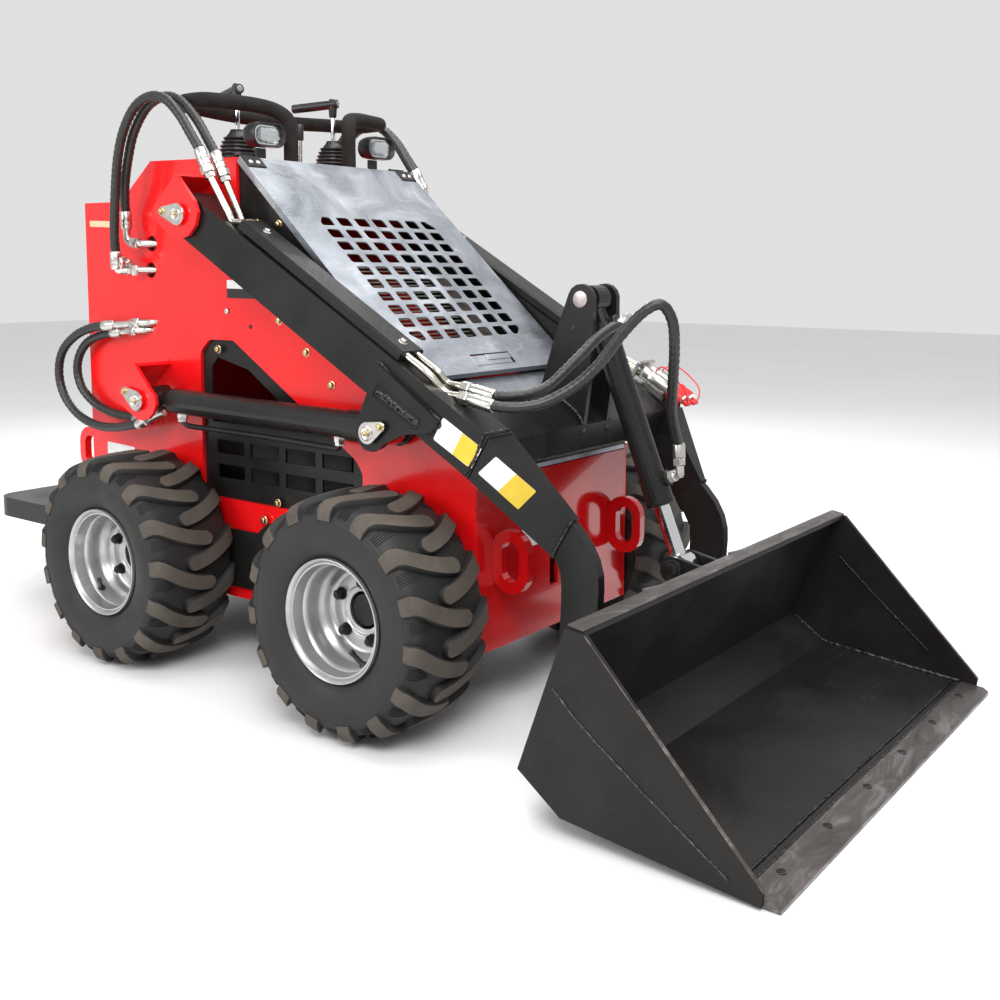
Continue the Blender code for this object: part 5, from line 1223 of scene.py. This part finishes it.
# =============================================================== controls and lamps
def controls():
    for tag, s in SIDES:
        # joystick: bellows boot, chrome stem, clamp and cross grip
        bm = bmesh.new()
        cx, cy = s * 0.148, 0.600
        prof = [(0, 0.0500), (0.003, 0.0510), (0.006, 0.0480)]
        z = 0.006
        for r in (0.0450, 0.0425, 0.0400, 0.0372, 0.0340, 0.0300):
            prof += [(z, r - 0.0015), (z + 0.0040, r + 0.0022), (z + 0.0062, r + 0.0014), (z + 0.0074, r - 0.0040)]
            z += 0.0088
        prof += [(z + 0.001, 0.0245), (z + 0.006, 0.0200), (z + 0.011, 0.0168), (z + 0.0145, 0.0160), (z + 0.0155, 0.0080)]
        turned(bm, W(cx, cy, 1.0850), (0, 0, 1), prof, 36)
        ob = make("joystick_boot_" + tag, bm, M["boot"], "chassis", 30)
        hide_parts("joystick_" + tag)
        turned(kit("chassis", "chrome", "joystick_stems", 40), W(cx, cy, 1.150), (0, 0, 1), [(0, 0.0052), (0.082, 0.0052), (0.084, 0.0044)], 16)
        g = kit("chassis", "boot", "joystick_grips", 40)
        turned(g, W(cx, cy, 1.214), (0, 0, 1), [(0, 0.0075), (0.004, 0.0090), (0.024, 0.0105), (0.038, 0.0105), (0.044, 0.0078), (0.0455, 0.004)], 20)
        # cross grip, pointing back and inwards
        if True:
            a = W(cx, cy - 0.004, 1.246)
            b = W(cx - s * 0.035, cy + 0.100, 1.238)
            bar(g, a - (b - a).normalized() * 0.010, b, 0.0110, 18)
            turned(kit("chassis", "coupler", "grip_end_discs", 40), a - (b - a).normalized() * 0.0105, -(b - a), [(0, 0.0070), (0.0012, 0.0068), (0.0016, 0.0050)], 18)
        # headlight: oval hooded housing, bezel, reflector and lens
        c = W(s * 0.175, 0.465, 1.137)
        ring = rounded([(-0.046, -0.026), (0.046, -0.026), (0.046, 0.026), (-0.046, 0.026)], 0.0240, 8)
        bm = bmesh.new()

        def oval(k, y, dx=0.0, dz=0.0):
            return [bm.verts.new(c + Vector((p[0] * k + dx, y, p[1] * k + dz))) for p in ring]
        rows = [oval(0.80, 0.0100), oval(0.86, 0.0040), oval(0.92, -0.0005), oval(0.985, -0.0005), oval(1.0, 0.002), oval(1.0, 0.022), oval(0.97, 0.030), oval(0.88, 0.040), oval(0.66, 0.050), oval(0.30, 0.0530)]
        skin(bm, rows)
        ob = make("headlight_housing_" + tag, bm, M["boot"], "chassis", 40)
        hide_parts("headlight_" + tag)
        bm = bmesh.new()
        rows = [oval(0.78, 0.0088), oval(0.70, 0.0096), oval(0.68, 0.0080)]
        skin(bm, rows)
        make("headlight_bezel_" + tag, bm, M["reflector"], "chassis", 40)
        bm = bmesh.new()
        rows = [oval(0.66, 0.0070), oval(0.60, 0.0050), oval(0.30, 0.0030), oval(0.05, 0.0026)]
        skin(bm, rows)
        make("headlight_lens_" + tag, bm, M["glass"], "chassis", 40)
        lamp = kit("chassis", "reflector", "headlight_chips", 30)
        block(lamp, c + Vector((0, 0.0086, 0)), (1, 0, 0), (0, 0, 1), (0, 1, 0), 0.0100, 0.0130, 0.0010, 0.0006)
        ft = kit("chassis", "boot", "headlight_feet", 40)
        block(ft, W(s * 0.175, 0.497, 1.1000), (1, 0, 0), (0, 1, 0), (0, 0, 1), 0.0130, 0.0045, 0.0105, 0.001)
        hexnut(kit("chassis", "zinc", "headlight_foot_bolts", 40), W(s * 0.175, 0.499, 1.0835), (0, 0, 1), 0.0080, 0.007)
        # rail feet
        for y in (0.4935,):
            turned(kit("chassis", "boot", "rail_feet", 40), W(s * 0.0905, y, 1.0835), (0, 0, 1), [(0, 0.0195), (0.0025, 0.0195), (0.004, 0.0185), (0.004, 0.0150)], 24)
    # foam-covered rail: one front leg on each side, joined across the machine at the rear
    RAIL = [(0.0905, 0.4915, 1.0835), (0.0905, 0.4920, 1.145), (0.095, 0.4960, 1.178), (0.116, 0.514, 1.198),
            (0.160, 0.530, 1.206), (0.220, 0.543, 1.207), (0.266, 0.556, 1.207), (0.277, 0.590, 1.207),
            (0.273, 0.630, 1.206), (0.245, 0.660, 1.206), (0.190, 0.674, 1.205), (0.130, 0.678, 1.202),
            (0.070, 0.680, 1.200), (0.0302, 0.680, 1.200), (0.0002, 0.680, 1.200)]
    for tag, s in SIDES:
        P, _ = route([W(s * x, y, z) for x, y, z in RAIL], step=0.010, per=12)
        bm = bmesh.new()
        tube(bm, P, 0.0162, 22)
        ob = make("foam_rail_" + tag, bm, M["foam"], "chassis", 60)
        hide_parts("hand_rail_" + tag)
    bm = bmesh.new()
    turned(bm, W(0.021, 0.582, 1.0850), (0, 0, 1), [(0, 0.0180), (0.004, 0.0180), (0.006, 0.0140), (0.010, 0.0120), (0.012, 0.0060)], 20)
    bar(bm, W(0.021, 0.582, 1.090), W(0.021, 0.580, 1.152), 0.0052, 14)
    ob = make("throttle_stem", bm, M["zinc"], "chassis", 40)
    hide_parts("throttle_lever")
    turned(kit("chassis", "boot", "throttle_cap", 40), W(0.021, 0.580, 1.148), (0, 0, 1), [(0, 0.0066), (0.003, 0.0080), (0.030, 0.0084), (0.035, 0.0070), (0.0365, 0.004)], 18)


controls()


# =============================================================== quick couplers on the left arm
def couplers():
    dv = Vector((0, -1, -0.57)).normalized()
    nv = Vector((0, -0.57, 1)).normalized()
    for i, x in enumerate((0.296, 0.327)):
        p = W(x, -0.180, arm_top(-0.180)) + nv * 0.021
        c = kit("lift_arms", "coupler", "coupler_sleeves", 40)
        turned(c, p - dv * 0.002, dv, [(0, 0.0120), (0.002, 0.0150), (0.020, 0.0150), (0.022, 0.0135), (0.026, 0.0135), (0.028, 0.0158), (0.062, 0.0158), (0.064, 0.0145), (0.080, 0.0145), (0.082, 0.0130)], 24)
        r = kit("lift_arms", "redcap", "dust_caps", 40)
        turned(r, p + dv * 0.074, dv, [(0, 0.0150), (0.002, 0.0172), (0.010, 0.0175), (0.012, 0.0162), (0.034, 0.0160), (0.038, 0.0135), (0.039, 0.0)], 24)
        block(r, p + dv * 0.120, nv, (1, 0, 0), dv, 0.0045, 0.0105, 0.0080, 0.002)
        # tether: a thin red cord back to the sleeve
        q0 = p + dv * 0.122
        q1 = p + dv * 0.024 + nv * 0.014
        side = Vector((1 if i else -1, 0, 0))
        P, _ = route([q0, q0 + nv * 0.012 + side * 0.010, q0 + nv * 0.030 + side * 0.018 - dv * 0.02, q1 + nv * 0.026 + side * 0.012 + dv * 0.02, q1 + nv * 0.010, q1], step=0.004)
        tube(r, P, 0.0016, 6)
    block(kit("lift_arms", "coupler", "coupler_bracket", 30), W(0.311, -0.168, arm_top(-0.168)) + nv * 0.018, (1, 0, 0), dv, nv, 0.034, 0.004, 0.022, 0.001)


couplers()

# =============================================================== gather the small pieces
for key in sorted(KITS):
    bm, body, mat, smooth = KITS[key]
    ob = make(key, bm, M[mat], body, smooth)


# =============================================================== stage
def stage():
    bm = bmesh.new()
    for x, y in ((-14, -14), (14, -14), (14, 14), (-14, 14)):
        bm.verts.new((x, y, -0.0005))
    bm.faces.new(bm.verts)
    n = Nodes("studio_floor")
    n.set(Base_Color=n.ramp(n.noise(1.5, 3), [(0.3, (0.80, 0.80, 0.80)), (0.8, (0.83, 0.83, 0.83))]), Roughness=0.75, Specular_IOR_Level=0.15)
    ob = make("studio_floor", bm, n.m)
    w = bpy.data.worlds.new("studio")
    bpy.context.scene.world = w
    w.use_nodes = True
    bg = w.node_tree.nodes["Background"]
    bg.inputs["Color"].default_value = (1.0, 1.0, 1.0, 1)
    bg.inputs["Strength"].default_value = 0.75

    def area(name, loc, target, size, power, color=(1, 1, 1)):
        L = bpy.data.lights.new(name, "AREA")
        L.shape = "RECTANGLE"
        L.size, L.size_y = size
        L.energy = power
        L.color = color
        o = bpy.data.objects.new(name, L)
        bpy.context.collection.objects.link(o)
        o.location = loc
        o.rotation_mode = "QUATERNION"
        o.rotation_quaternion = (Vector(target) - Vector(loc)).to_track_quat("-Z", "Y")
        return o
    area("key_light", (-2.6, -2.2, 3.2), (0, -0.2, 0.5), (2.2, 1.6), 120)
    area("top_light", (0.4, -0.6, 3.6), (0, -0.2, 0.5), (3.0, 3.0), 110)
    area("side_light", (-3.4, 1.4, 1.9), (0, 0.1, 0.6), (1.6, 1.6), 55)
    area("rim_light", (2.6, 2.4, 2.4), (0, 0, 0.7), (1.4, 2.0), 60)


stage()
